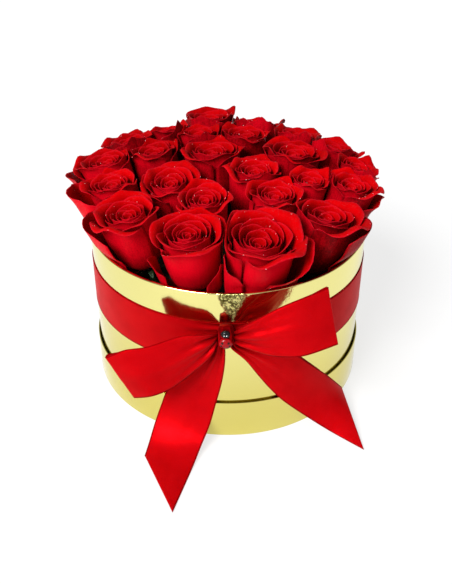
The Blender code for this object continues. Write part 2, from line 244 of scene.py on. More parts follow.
@dataclass(frozen=True)
class PetalVelvet:
    """Rose petals: velvety red inside, a pinker satin red outside, and a painted highlight along the
    rim.

    The meshes' own numbers: "side" is 1 on a petal's outside, "petal" differs from petal to
    petal, "tone" is painted shade over a whole rose at the back of the box, and
    "belly" is painted shade on the outside of its petals.
    """

    velvet: Rgb = (0.43, 0.0, 0.001)
    back: Rgb = (0.58, 0.001, 0.0085)
    rim: Rgb = (0.44, 0.004, 0.012)
    shade: Rgb = (0.045, 0.0, 0.0)
    glitter: Rgb = (0.62, 0.07, 0.08)

    def make(self) -> bpy.types.Material:
        """Builds the material."""
        s = Shade("rose petal velvet")
        uv = s.uv()
        _, along, _ = s.parts_of(uv)
        side = s.attribute("side")
        petal = s.attribute("petal")
        # Painted shade that darkens the roses at the back; it also dims their rim highlight and
        # glitter.
        tone = s.attribute("tone")
        # Painted shade on the outside of the petals.
        belly = s.attribute("belly")
        place = s.place()
        veins = s.noise(s.stretched(uv, (26, 3, 1)), 1.0, 3.0)
        mottle = s.noise(place, 140.0, 3.0)
        pile = s.noise(place, 1300.0, 2.0)
        colour = s.mix(side, self.velvet, self.back)
        inward = 1 - side
        # Painted shade: darker towards each petal's foot, most on the inside of the cup.
        deep = (1 - along.ramp(0.3, 0.93)) * (0.2 + inward * 0.6) + tone + belly * side
        deep = deep + (veins - 0.5) * 0.4 + (petal - 0.5) * 0.3
        deep = deep + (mottle - 0.5) * 0.4 + (pile - 0.5) * 0.8
        colour = s.mix(deep.ramp(-0.1, 1.15), colour, self.shade)
        # Painted highlight along the petals' rims, flecked by the pile.
        edge = (along + (mottle - 0.5) * 0.02).ramp(0.965, 0.998)
        colour = s.mix(edge * (0.3 + pile * 0.7) * (1 - tone), colour, self.rim)
        specks = pile.ramp(0.62, 0.7) * along.ramp(0.8, 1.0)
        colour = s.mix(specks * 0.3 * (1 - tone), colour, self.glitter)
        grain = s.bump(pile, 0.12 * MM, 0.6)
        ribs = s.bump(veins, 0.4 * MM, 0.45, grain)
        return s.finish(
            base_color=colour,
            roughness=0.62 - side * 0.14 + (mottle - 0.5) * 0.12,
            normal=ribs,
            sheen_weight=0.04,
            sheen_roughness=0.4,
            sheen_tint=(1.0, 0.05, 0.07),
            specular_tint=(1.0, 0.1, 0.12),
            specular_ior_level=0.06,
        )


@dataclass(frozen=True)
class GoldFoil:
    """Gold mirror foil on card: almost flat, with soft waves, and crushed above the bow's knot."""

    gold: Rgb = (0.82, 0.76, 0.285)
    warm: Rgb = (0.67, 0.585, 0.155)
    crease_shade: Rgb = (0.05, 0.03, 0.004)
    olive_reflection: Rgb = (0.11, 0.1, 0.014)
    flare: float = 1.1 * MM
    crush_middle: float = 4.2 * MM
    crush_widening: float = 6.5 * MM
    side_crease: float = 46 * MM

    def make(self) -> bpy.types.Material:
        """Builds the material."""
        s = Shade("gold mirror foil")
        place = s.place()
        x, y, z = s.parts_of(place)
        waves = s.noise(place, 16.0, 2.0)
        grain = s.noise(place, 420.0, 3.0)
        crinkle = s.noise(place, 380.0, 4.0, 0.6)
        veins = s.noise(place, 300.0, 4.0, 0.65)
        in_front = (-1 * y).ramp(60 * MM, 90 * MM)
        # The crushed patch above the knot narrows downwards.
        widening = z.ramp(112 * MM, 132 * MM) * self.crush_widening
        off_middle = (x - self.crush_middle).size() - widening
        creased = 1 - off_middle.ramp(1.5 * MM, 4.5 * MM)
        beside = 1 - (x - self.side_crease).size().ramp(2 * MM, 10 * MM)
        near_bow = (creased + beside * 0.12) * z.ramp(106 * MM, 120 * MM) * in_front
        # Painted reflection: the gold darkens and yellows lower down, mirroring the shaded floor.
        low = 1 - z.ramp(10 * MM, 118 * MM)
        colour = s.mix(low * 0.95 + (waves - 0.5) * 0.25, self.gold, self.warm)
        colour = s.mix(grain.ramp(0.55, 0.8) * 0.12, colour, self.warm)
        # Painted reflection and shade in the crushed patch: dark olive flecks and dark crease lines.
        crushed_area = creased * z.ramp(108 * MM, 119 * MM) * in_front
        greener = 1.0 - x.ramp(0.0, 11 * MM) * 0.5
        colour = s.mix(crushed_area * crinkle.ramp(0.38, 0.62) * greener, colour, self.olive_reflection)
        painted_fold_shade = (1 - (veins - 0.5).size().ramp(0.012, 0.06)) * crushed_area
        colour = s.mix(painted_fold_shade * 0.9, colour, self.crease_shade)
        # The ribbon draws the wall in, so the card above it flares out a little.
        drawn = s.bump(z.ramp(100 * MM, 136 * MM), self.flare)
        soft = s.bump(waves, 0.8 * MM, 0.35, drawn)
        fine = s.bump(grain, 0.05 * MM, 0.35, soft)
        crushed = s.bump(crinkle * near_bow, 1.2 * MM, 0.9, fine)
        return s.finish(
            base_color=colour,
            metallic=1.0,
            roughness=0.1 + (grain - 0.5) * 0.1,
            normal=crushed,
        )


@dataclass(frozen=True)
class RedSatin:
    """Red satin ribbon: fine threads across it, soft streaks of painted shade, and a firm woven
    edge.

    The meshes' own number "fold_shade" is painted shade: deepest between two pleats and at the knot.
    """

    red: Rgb = (0.44, 0.0016, 0.0036)
    streak_shade_and_edge: Rgb = (0.20, 0.0, 0.001)
    deep: Rgb = (0.05, 0.0, 0.0005)

    def make(self) -> bpy.types.Material:
        """Builds the material."""
        s = Shade("red satin ribbon")
        uv = s.uv()
        across, along, _ = s.parts_of(uv)
        streaks = s.noise(s.stretched(uv, (2.0, 46.0, 1.0)), 1.0, 3.0)
        slubs = s.noise(s.stretched(uv, (60.0, 900.0, 1.0)), 1.0, 2.0)
        threads = (along * 6000.0).sine() * 0.5 + 0.5
        edge = (across - 0.5).size().ramp(0.47, 0.492)
        # Painted shade in soft streaks for the satin's broad folds, with real slubs of the yarn.
        streak_shade_and_slubs = (streaks - 0.5).ramp(-0.2, 0.35) * 0.35 + (slubs - 0.5) * 0.5
        colour = s.mix(streak_shade_and_slubs + edge * 0.75, self.red, self.streak_shade_and_edge)
        # Painted shade in the folds, deepest between pleats and at the knot.
        colour = s.mix(s.attribute("fold_shade"), colour, self.deep)
        weave = s.bump(threads, 0.03 * MM, 0.3)
        soft = s.bump(streaks, 0.3 * MM, 0.3, weave)
        return s.finish(
            base_color=colour,
            roughness=0.4 + (streaks - 0.5) * 0.16 + edge * 0.15,
            normal=soft,
            metallic=0.3,
            specular_tint=(1.0, 0.06, 0.06),
            specular_ior_level=0.05,
            subsurface_weight=0.4,
            subsurface_radius=(1.0, 0.06, 0.06),
            subsurface_scale=2.5 * MM,
        )


@dataclass(frozen=True)
class LeafGreen:
    """Fresh rose green in darker and lighter patches, with fine fibres along the stem."""

    green: Rgb = (0.022, 0.065, 0.012)
    dull: Rgb = (0.008, 0.024, 0.005)

    def make(self) -> bpy.types.Material:
        """Builds the material."""
        s = Shade("rose stem green")
        place = s.place()
        patches = s.noise(place, 180.0, 3.0)
        fibres = s.noise(s.stretched(place, (900.0, 900.0, 90.0)), 1.0, 2.0)
        colour = s.mix(patches.ramp(0.35, 0.7), self.green, self.dull)
        return s.finish(
            base_color=colour,
            roughness=0.5 + (patches - 0.5) * 0.2,
            normal=s.bump(fibres, 0.2 * MM, 0.4),
        )


@dataclass(frozen=True)
class WetFoam:
    """Soaked floral foam: dark green, with fine open pores."""

    wet: Rgb = (0.004, 0.012, 0.004)
    dry: Rgb = (0.012, 0.034, 0.012)

    def make(self) -> bpy.types.Material:
        """Builds the material."""
        s = Shade("wet floral foam")
        place = s.place()
        pores = s.noise(place, 900.0, 4.0, 0.7)
        soaked = s.noise(place, 25.0, 2.0)
        colour = s.mix(soaked * 0.6 + pores * 0.4, self.wet, self.dry)
        return s.finish(
            base_color=colour,
            roughness=0.75 + (pores - 0.5) * 0.3,
            normal=s.bump(pores, 0.6 * MM, 0.8),
        )


@dataclass(frozen=True)
class DarkFilm:
    """The waterproof liner: thin black film with soft wrinkles."""

    black: Rgb = (0.008, 0.008, 0.009)
    grey: Rgb = (0.02, 0.02, 0.022)

    def make(self) -> bpy.types.Material:
        """Builds the material."""
        s = Shade("black liner film")
        wrinkles = s.noise(s.stretched(s.place(), (60.0, 60.0, 20.0)), 1.0, 3.0)
        colour = s.mix(wrinkles, self.black, self.grey)
        return s.finish(
            base_color=colour,
            roughness=0.3 + wrinkles * 0.2,
            normal=s.bump(wrinkles, 1 * MM, 0.6),
        )


@dataclass(frozen=True)
class Lacquer:
    """Glossy lacquer on turned wood, with round spots when they are asked for."""

    name: str
    colour: Rgb
    spots: tuple[tuple[float, float], ...] = ()
    spot_radius: float = 0.9 * MM
    spot_black: Rgb = (0.006, 0.006, 0.006)
    dust: Rgb = (0.02, 0.002, 0.002)

    def make(self) -> bpy.types.Material:
        """Builds the material."""
        s = Shade(self.name)
        place = s.place()
        x, _, z = s.parts_of(place)
        speckle = s.noise(place, 700.0, 2.0)
        colour = s.mix(speckle.ramp(0.4, 0.8) * 0.2, self.colour, self.dust)
        for at_x, at_z in self.spots:
            far = ((x - at_x) ** 2.0 + (z - at_z) ** 2.0) ** 0.5
            inside = 1 - far.ramp(0.8 * self.spot_radius, self.spot_radius)
            colour = s.mix(inside, colour, self.spot_black)
        return s.finish(
            base_color=colour,
            roughness=0.22 + (speckle - 0.5) * 0.06,
            normal=s.bump(speckle, 0.05 * MM, 0.3),
            specular_ior_level=0.2,
        )


@dataclass(frozen=True)
class DewDrop:
    """Tiny pale drops and specks of glitter on the petals."""

    pink: Rgb = (0.95, 0.25, 0.28)
    pale: Rgb = (1.0, 0.8, 0.78)

    def make(self) -> bpy.types.Material:
        """Builds the material."""
        s = Shade("dew and glitter")
        tone = s.noise(s.place(), 900.0, 1.0)
        colour = s.mix(tone.ramp(0.4, 0.6), self.pink, self.pale)
        return s.finish(base_color=colour, roughness=0.06 + tone * 0.1)


@dataclass(frozen=True)
class StudioFloor:
    """Plain pale paper on a light table, which keeps shadows faint."""

    paper: Rgb = (0.22, 0.22, 0.22)
    fibres: Rgb = (0.2, 0.2, 0.2)
    glow: float = 0.72

    def make(self) -> bpy.types.Material:
        """Builds the material."""
        s = Shade("pale studio floor")
        fibre = s.noise(s.place(), 60.0, 3.0)
        return s.finish(
            base_color=s.mix(fibre * 0.15, self.paper, self.fibres),
            roughness=0.75,
            emission_color=(1.0, 1.0, 1.0),
            emission_strength=self.glow,
        )


# Meshes


def new_piece(name: str, mesh: bpy.types.Mesh, *finishes: bpy.types.Material) -> bpy.types.Object:
    """An object of a mesh, in the scene, with its materials."""
    made = bpy.data.objects.new(name, mesh)
    bpy.context.scene.collection.objects.link(made)
    for finish in finishes:
        mesh.materials.append(finish)
    return made


def dress(piece: bpy.types.Object, slot: Slot, *nodes: str) -> bpy.types.Object:
    """Makes a piece ride on the frame and stand for its nodes."""
    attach(piece, "root")
    if nodes:
        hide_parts(*nodes)
    LOG.info("%s: %d faces", piece.name, len(piece.data.polygons))
    return piece


@dataclass
class Sheet:
    """Vertices, quads and per-vertex numbers that grow as sheets are added to them."""

    points: list[np.ndarray] = field(default_factory=list)
    quads: list[np.ndarray] = field(default_factory=list)
    uvs: list[np.ndarray] = field(default_factory=list)
    numbers: dict[str, list[np.ndarray]] = field(default_factory=dict)
    count: int = 0

    def add(
        self, points: np.ndarray, quads: np.ndarray, uv: np.ndarray, **numbers: np.ndarray
    ) -> None:
        """Adds a body.

        Args:
            points: Its vertices.
            quads: Its faces, as vertex numbers of its own.
            uv: One UV pair for each vertex.
            numbers: Named per-vertex numbers.
        """
        self.points.append(points)
        self.quads.append(quads + self.count)
        self.uvs.append(uv)
        for name, values in numbers.items():
            self.numbers.setdefault(name, []).append(values)
        self.count += len(points)

    def mesh(self, name: str) -> bpy.types.Mesh:
        """Ends the sheets as one smooth mesh with a UV map and its attributes."""
        points, quads, uv = (np.concatenate(x) for x in (self.points, self.quads, self.uvs))
        made = bpy.data.meshes.new(name)
        made.vertices.add(len(points))
        made.vertices.foreach_set("co", points.astype(np.float32).ravel())
        made.loops.add(4 * len(quads))
        made.loops.foreach_set("vertex_index", quads.astype(np.int32).ravel())
        made.polygons.add(len(quads))
        made.polygons.foreach_set("loop_start", np.arange(0, 4 * len(quads), 4, dtype=np.int32))
        made.update(calc_edges=True)
        layer = made.uv_layers.new(name="weave")
        layer.data.foreach_set("uv", uv[quads.ravel()].astype(np.float32).ravel())
        for key, values in self.numbers.items():
            kept = made.attributes.new(key, "FLOAT", "POINT")
            kept.data.foreach_set("value", np.concatenate(values).astype(np.float32))
        made.polygons.foreach_set("use_smooth", np.ones(len(quads), bool))
        made.validate()
        return made


def grid_normals(grid: np.ndarray, ring: bool = False) -> np.ndarray:
    """The unit normal at each point of a grid of points.

    Args:
        grid: Rows by columns by 3.
        ring: Whether the last column joins the first.

    Returns:
        Rows by columns by 3, along (down the columns) x (along the rows).
    """
    down = np.gradient(grid, axis=0)
    wide = np.concatenate([grid[:, -1:], grid, grid[:, :1]], axis=1) if ring else grid
    along = np.gradient(wide, axis=1)
    if ring:
        along = along[:, 1:-1]
    normal = np.cross(along, down)
    return normal / np.maximum(np.linalg.norm(normal, axis=2, keepdims=True), 1e-12)


def add_shell(
    sheet: Sheet,
    grid: np.ndarray,
    thickness: np.ndarray | float,
    uv: np.ndarray,
    ring: bool = False,
    **numbers: float,
) -> None:
    """Adds a closed thin wall round a grid of points.

    Args:
        sheet: What it is added to.
        grid: Rows by columns by 3, in the middle of the wall.
        thickness: The wall's thickness, one number or rows by columns.
        uv: Rows by columns by 2.
        ring: Whether the last column joins the first.
        numbers: Per-vertex numbers, each the same all over the wall.
    """
    rows, columns = grid.shape[:2]
    thick = np.broadcast_to(np.asarray(thickness)[..., None], (rows, columns, 1))
    offset = grid_normals(grid, ring) * thick / 2
    points = np.concatenate([(grid + offset).reshape(-1, 3), (grid - offset).reshape(-1, 3)])
    index = np.arange(rows * columns).reshape(rows, columns)
    last = columns if ring else columns - 1
    left = index[:, np.arange(last)]
    right = index[:, (np.arange(last) + 1) % columns]
    front = np.stack([left[:-1], right[:-1], right[1:], left[1:]], axis=-1).reshape(-1, 4)
    back = front[:, ::-1] + rows * columns
    quads = [front, back]
    rims = [(left[0], right[0], False), (left[-1], right[-1], True)]
    if not ring:
        rims += [(index[:-1, 0], index[1:, 0], True), (index[:-1, -1], index[1:, -1], False)]
    for first, second, flip in rims:
        far_first, far_second = first + rows * columns, second + rows * columns
        strip = np.stack([second, first, far_first, far_second], axis=-1).reshape(-1, 4)
        quads.append(strip[:, ::-1] if flip else strip)
    doubled = np.concatenate([uv.reshape(-1, 2)] * 2)
    half = np.zeros(2 * rows * columns)
    half[: rows * columns] = 1.0
    kept = {name: np.full(len(points), value) for name, value in numbers.items()}
    sheet.add(points, np.concatenate(quads), doubled, side=half, **kept)


def catmull(points: np.ndarray, parts: int) -> np.ndarray:
    """A Catmull-Rom curve through the points, each stretch in equal parts."""
    padded = np.concatenate([points[:1], points, points[-1:]])
    t = np.arange(parts)[:, None] / parts
    path = []
    for i in range(len(points) - 1):
        a, b, c, d = padded[i : i + 4]
        bend = (2 * a - 5 * b + 4 * c - d) * t**2
        path.append(0.5 * (2 * b + (c - a) * t + bend + (3 * b - a - 3 * c + d) * t**3))
    return np.concatenate([*path, points[-1:]])


def closed_body(
    name: str, rings: np.ndarray, ends: list[np.ndarray], flip: bool = False
) -> bpy.types.Mesh:
    """A smooth closed mesh of rings of points.

    Args:
        name: Its name.
        rings: Rings by sides by 3.
        ends: The two points that close the first ring and the last.
        flip: Whether its faces turn the other way.

    Returns:
        The mesh: its walls, then the first ring's cap, then the last one's.
    """
    rows, sides = rings.shape[:2]
    index = np.arange(rows * sides).reshape(rows, sides)
    after = np.roll(index, -1, axis=1)
    walls = np.stack([index[:-1], after[:-1], after[1:], index[1:]], axis=-1).reshape(-1, 4)
    first = np.stack([after[0], index[0], np.full(sides, rows * sides)], axis=-1)
    last = np.stack([index[-1], after[-1], np.full(sides, rows * sides + 1)], axis=-1)
    way = -1 if flip else 1
    faces = [tuple(int(i) for i in face[::way]) for face in [*walls, *first, *last]]
    points = np.concatenate([rings.reshape(-1, 3), np.array(ends)])
    made = bpy.data.meshes.new(name)
    made.from_pydata([tuple(p) for p in points], [], faces)
    made.polygons.foreach_set("use_smooth", np.ones(len(made.polygons), bool))
    return made


def on_wall(degrees: float, radius: float, z: float) -> Triple:
    """A point round the box, in millimetres: degrees run from the front to the right."""
    angle = math.radians(degrees)
    return radius * math.sin(angle), -radius * math.cos(angle), z


# Geometry Nodes


class Recipe:
    """A Geometry Nodes tree under construction, with named inputs."""

    def __init__(self, name: str, sizes: dict[str, tuple[str, object]]) -> None:
        """Starts a tree.

        Args:
            name: The tree's name.
            sizes: Input name to (socket type, default value).
        """
        self.tree = bpy.data.node_groups.new(name, "GeometryNodeTree")
        face = self.tree.interface
        face.new_socket("Geometry", in_out="INPUT", socket_type="NodeSocketGeometry")
        self.keys: dict[str, str] = {}
        for key, (kind, value) in sizes.items():
            socket = face.new_socket(key, in_out="INPUT", socket_type="NodeSocket" + kind)
            if value is not None:
                socket.default_value = value
            self.keys[key] = socket.identifier
        face.new_socket("Geometry", in_out="OUTPUT", socket_type="NodeSocketGeometry")
        self.given = self.tree.nodes.new("NodeGroupInput")

    def given_as(self, key: str) -> bpy.types.NodeSocket:
        """One of the tree's own inputs."""
        return self.given.outputs[key]

    def node(
        self, kind: str, settings: dict | None = None, inputs: dict | None = None
    ) -> bpy.types.Node:
        """Adds a node: its settings first, then the values or links of its sockets."""
        made = self.tree.nodes.new(kind)
        for key, value in (settings or {}).items():
            setattr(made, key, value)
        for key, value in (inputs or {}).items():
            socket = made.inputs[key]
            if isinstance(value, bpy.types.NodeSocket):
                self.tree.links.new(value, socket)
            else:
                socket.default_value = value
        return made

    def maths(self, operation: str, *values: object) -> bpy.types.NodeSocket:
        """A Math node's result."""
        inputs = dict(enumerate(values))
        return self.node("ShaderNodeMath", {"operation": operation}, inputs).outputs[0]

    def join(self, *parts: bpy.types.NodeSocket) -> bpy.types.NodeSocket:
        """Several geometries as one."""
        both = self.node("GeometryNodeJoinGeometry")
        for part in parts:
            self.tree.links.new(part, both.inputs[0])
        return both.outputs[0]

    def painted(self, geometry: bpy.types.NodeSocket) -> bpy.types.NodeSocket:
        """The geometry made smooth and real, in the material that the tree is given."""
        smooth = self.node("GeometryNodeSetShadeSmooth", None, {0: geometry})
        real = self.node("GeometryNodeRealizeInstances", None, {0: smooth.outputs[0]})
        inputs = {0: real.outputs[0], "Material": self.given_as("Finish")}
        return self.node("GeometryNodeSetMaterial", None, inputs).outputs[0]

    def leave(self, geometry: bpy.types.NodeSocket) -> None:
        """Links what leaves the tree."""
        out = self.tree.nodes.new("NodeGroupOutput")
        self.tree.links.new(geometry, out.inputs[0])

    def run(self, start: bpy.types.Mesh, **sizes: object) -> bpy.types.Mesh:
        """Runs the tree on a mesh.

        Args:
            start: The mesh that it works on.
            sizes: Values for the tree's inputs, named with underscores for spaces.

        Returns:
            The result, as a plain mesh.
        """
        holder = bpy.data.objects.new("holder", start)
        bpy.context.scene.collection.objects.link(holder)
        modifier = holder.modifiers.new("recipe", "NODES")
        modifier.node_group = self.tree
        for key, value in sizes.items():
            modifier[self.keys[key.replace("_", " ")]] = value
        holder.update_tag()
        graph = bpy.context.evaluated_depsgraph_get()
        made = bpy.data.meshes.new_from_object(holder.evaluated_get(graph), depsgraph=graph)
        holder.modifiers.remove(modifier)
        bpy.data.objects.remove(holder)
        return made


def turned_recipe() -> Recipe:
    """A tree that turns a profile round the box's axis.

    The profile's x is how far it stands outside the turning radius, and its y runs downwards.
    """
    recipe = Recipe(
        "turned wall",
        {
            "Turning Radius": ("Float", BOX_RADIUS),
            "Steps": ("Int", 192),
            "Finish": ("Material", None),
        },
    )
    profile = recipe.node("GeometryNodeMeshToCurve", None, {0: recipe.given_as("Geometry")})
    round_it = recipe.node(
        "GeometryNodeCurvePrimitiveCircle",
        None,
        {"Resolution": recipe.given_as("Steps"), "Radius": recipe.given_as("Turning Radius")},
    )
    swept = recipe.node(
        "GeometryNodeCurveToMesh",
        None,
        {"Curve": round_it.outputs[0], "Profile Curve": profile.outputs[0]},
    )
    recipe.leave(recipe.painted(swept.outputs[0]))
    return recipe


def edge_recipe() -> Recipe:
    """A tree that lays a round cord, such as a ribbon's woven edge, along a line of vertices."""
    recipe = Recipe(
        "woven edge",
        {
            "Cord Radius": ("Float", 0.34 * MM),
            "Sides": ("Int", 6),
            "Finish": ("Material", None),
        },
    )
    line = recipe.node("GeometryNodeMeshToCurve", None, {0: recipe.given_as("Geometry")})
    section = recipe.node(
        "GeometryNodeCurvePrimitiveCircle",
        None,
        {"Resolution": recipe.given_as("Sides"), "Radius": recipe.given_as("Cord Radius")},
    )
    cord = recipe.node(
        "GeometryNodeCurveToMesh",
        None,
        {"Curve": line.outputs[0], "Profile Curve": section.outputs[0], "Fill Caps": True},
    )
    recipe.leave(recipe.painted(cord.outputs[0]))
    return recipe


def dew_recipe() -> Recipe:
    """A tree that scatters small drops over the petals, most of them near the rims."""
    recipe = Recipe(
        "dew drops",
        {
            "Drops Per Area": ("Float", 9000.0),
            "Least Radius": ("Float", 0.1 * MM),
            "Largest Radius": ("Float", 0.3 * MM),
            "Seed": ("Int", 1),
            "Finish": ("Material", None),
        },
    )
    near_rim = recipe.node(
        "GeometryNodeInputNamedAttribute", {"data_type": "FLOAT"}, {"Name": "rim"}
    )
    density = recipe.maths("MULTIPLY", recipe.given_as("Drops Per Area"), near_rim.outputs[0])
    spread = recipe.node(
        "GeometryNodeDistributePointsOnFaces",
        None,
        {"Mesh": recipe.given_as("Geometry"), "Density": density, "Seed": recipe.given_as("Seed")},
    )
    size = recipe.node(
        "FunctionNodeRandomValue",
        {"data_type": "FLOAT"},
        {
            "Min": recipe.given_as("Least Radius"),
            "Max": recipe.given_as("Largest Radius"),
            "Seed": recipe.given_as("Seed"),
        },
    )
    drop = recipe.node("GeometryNodeMeshIcoSphere", None, {"Radius": 1.0, "Subdivisions": 1})
    drops = recipe.node(
        "GeometryNodeInstanceOnPoints",
        None,
        {"Points": spread.outputs[0], "Instance": drop.outputs[0], "Scale": size.outputs["Value"]},
    )
    recipe.leave(recipe.join(recipe.painted(drops.outputs[0]), recipe.given_as("Geometry")))
    return recipe


def sepal_blade(r: Recipe) -> bpy.types.NodeSocket:
    """One sepal as a closed blade, which runs along +X from the ring's radius.

    Args:
        r: The tree, which is given the blade's Length, Width, Sag, Film and Ring Radius.

    Returns:
        The blade.
    """
    blade = r.node(
        "GeometryNodeMeshGrid",
        None,
        {"Size X": 1.0, "Size Y": 1.0, "Vertices X": 9, "Vertices Y": 5},
    )
    here = r.node("GeometryNodeInputPosition").outputs[0]
    split = r.node("ShaderNodeSeparateXYZ", None, {0: here})
    along = r.maths("ADD", split.outputs[0], 0.5)
    # The blade is widest at a third of its length and ends in a point.
    taper = r.maths("POWER", r.maths("SUBTRACT", 1.0, along), 0.8)
    bell = r.maths("MULTIPLY", taper, r.maths("ADD", along, 0.45))
    across = r.maths("MULTIPLY", split.outputs[1], r.maths("MULTIPLY", bell, 1.6))
    y = r.maths("MULTIPLY", across, r.given_as("Width"))
    x = r.maths("ADD", r.maths("MULTIPLY", along, r.given_as("Length")), r.given_as("Ring Radius"))
    bend = r.maths("MULTIPLY", r.maths("POWER", along, 1.7), r.given_as("Sag"))
    cup = r.maths("MULTIPLY", r.maths("POWER", r.maths("ABSOLUTE", across), 2.0), 3.0 * MM)
    z = r.maths("SUBTRACT", cup, bend)
    where = r.node("ShaderNodeCombineXYZ", None, {0: x, 1: y, 2: z}).outputs[0]
    shaped = r.node("GeometryNodeSetPosition", None, {0: blade.outputs[0], "Position": where})
    thick = r.node(
        "GeometryNodeExtrudeMesh",
        {"mode": "FACES"},
        {"Mesh": shaped.outputs[0], "Offset Scale": r.given_as("Film"), "Individual": False},
    )
    under = r.node("GeometryNodeFlipFaces", None, {0: shaped.outputs[0]})
    shell = r.join(thick.outputs[0], under.outputs[0])
    merged = r.node("GeometryNodeMergeByDistance", None, {0: shell, "Distance": 0.01 * MM})
    return merged.outputs[0]


def sepal_recipe() -> Recipe:
    """A tree that sets curved, pointed sepals round the top of a stem."""
    r = Recipe(
        "sepals",
        {
            "Count": ("Int", 5),
            "Length": ("Float", 11.5 * MM),
            "Width": ("Float", 5.5 * MM),
            "Sag": ("Float", 4.5 * MM),
            "Ring Radius": ("Float", 2.2 * MM),
            "Film": ("Float", 0.5 * MM),
            "Seed": ("Int", 1),
            "Finish": ("Material", None),
        },
    )
    blade = sepal_blade(r)
    ring = r.node("GeometryNodeMeshCircle", None, {"Vertices": r.given_as("Count"), "Radius": 1.0})
    # The ring has a radius of 1 only to tell each sepal's bearing; the sepals start at its middle.
    here = r.node("GeometryNodeInputPosition").outputs[0]
    bearing = r.node("FunctionNodeAlignRotationToVector", {"axis": "X"}, {"Vector": here})
    kept = r.node(
        "GeometryNodeStoreNamedAttribute",
        {"data_type": "QUATERNION"},
        {0: ring.outputs[0], "Name": "way"},
    )
    r.tree.links.new(bearing.outputs[0], kept.inputs["Value"])
    middle = r.node("ShaderNodeCombineXYZ").outputs[0]
    centred = r.node("GeometryNodeSetPosition", None, {0: kept.outputs[0], "Position": middle})
    way = r.node("GeometryNodeInputNamedAttribute", {"data_type": "QUATERNION"}, {"Name": "way"})
    vary = r.node(
        "FunctionNodeRandomValue",
        {"data_type": "FLOAT"},
        {"Min": 0.85, "Max": 1.15, "Seed": r.given_as("Seed")},
    )
    placed = r.node(
        "GeometryNodeInstanceOnPoints",
        None,
        {
            "Points": centred.outputs[0],
            "Instance": blade,
            "Rotation": way.outputs[0],
            "Scale": vary.outputs["Value"],
        },
    )
    r.leave(r.painted(placed.outputs[0]))
    return r


# The roses


@dataclass(frozen=True)
class PetalForm:
    """One petal's size and pose. Angles are in radians and run round the rose."""

    angle: float
    half_width: float
    rim_radius: float
    rim_height: float
    foot: float
    closing: float = 0.0
    roll: float = 0.0
    roll_length: float = 6 * MM
    tip: float = 0.0
    corner: float = 0.3
    wave: float = 0.0
    phase: float = 0.0
    twist: float = 0.0
    corner_power: float = 3.0


@dataclass(frozen=True)
class Guard:
    """An outer petal that has opened away from the cup, in degrees and millimetres.

    Its bearing is counted as the roses' are. Lower tells how far its rim lies below the bud's
    top, and reach how far out it stands, in radii of the cup.
    """

    bearing: float
    lower: float
    roll: float
    reach: float = 1.12
    half_width: float = 46.0
    hang: float = 0.0
    roll_length: float = 13.0
    tip: float = 2.0
    corner: float = 0.16
    wave: float = 0.18

    def form(self, cup: float, height: float) -> PetalForm:
        """The petal's form.

        Args:
            cup: The radius of the rose's cup.
            height: The height of the bud's top.

        Returns:
            Its sizes in metres and radians.
        """
        return PetalForm(
            angle=math.radians(self.bearing),
            half_width=math.radians(self.half_width),
            rim_radius=cup * self.reach,
            rim_height=height - self.lower * MM,
            foot=4.6 * MM,
            roll=math.radians(self.roll),
            roll_length=self.roll_length * MM,
            tip=self.tip * MM,
            corner=self.corner,
            wave=self.wave,
            phase=self.bearing,
            corner_power=2.0,
        )


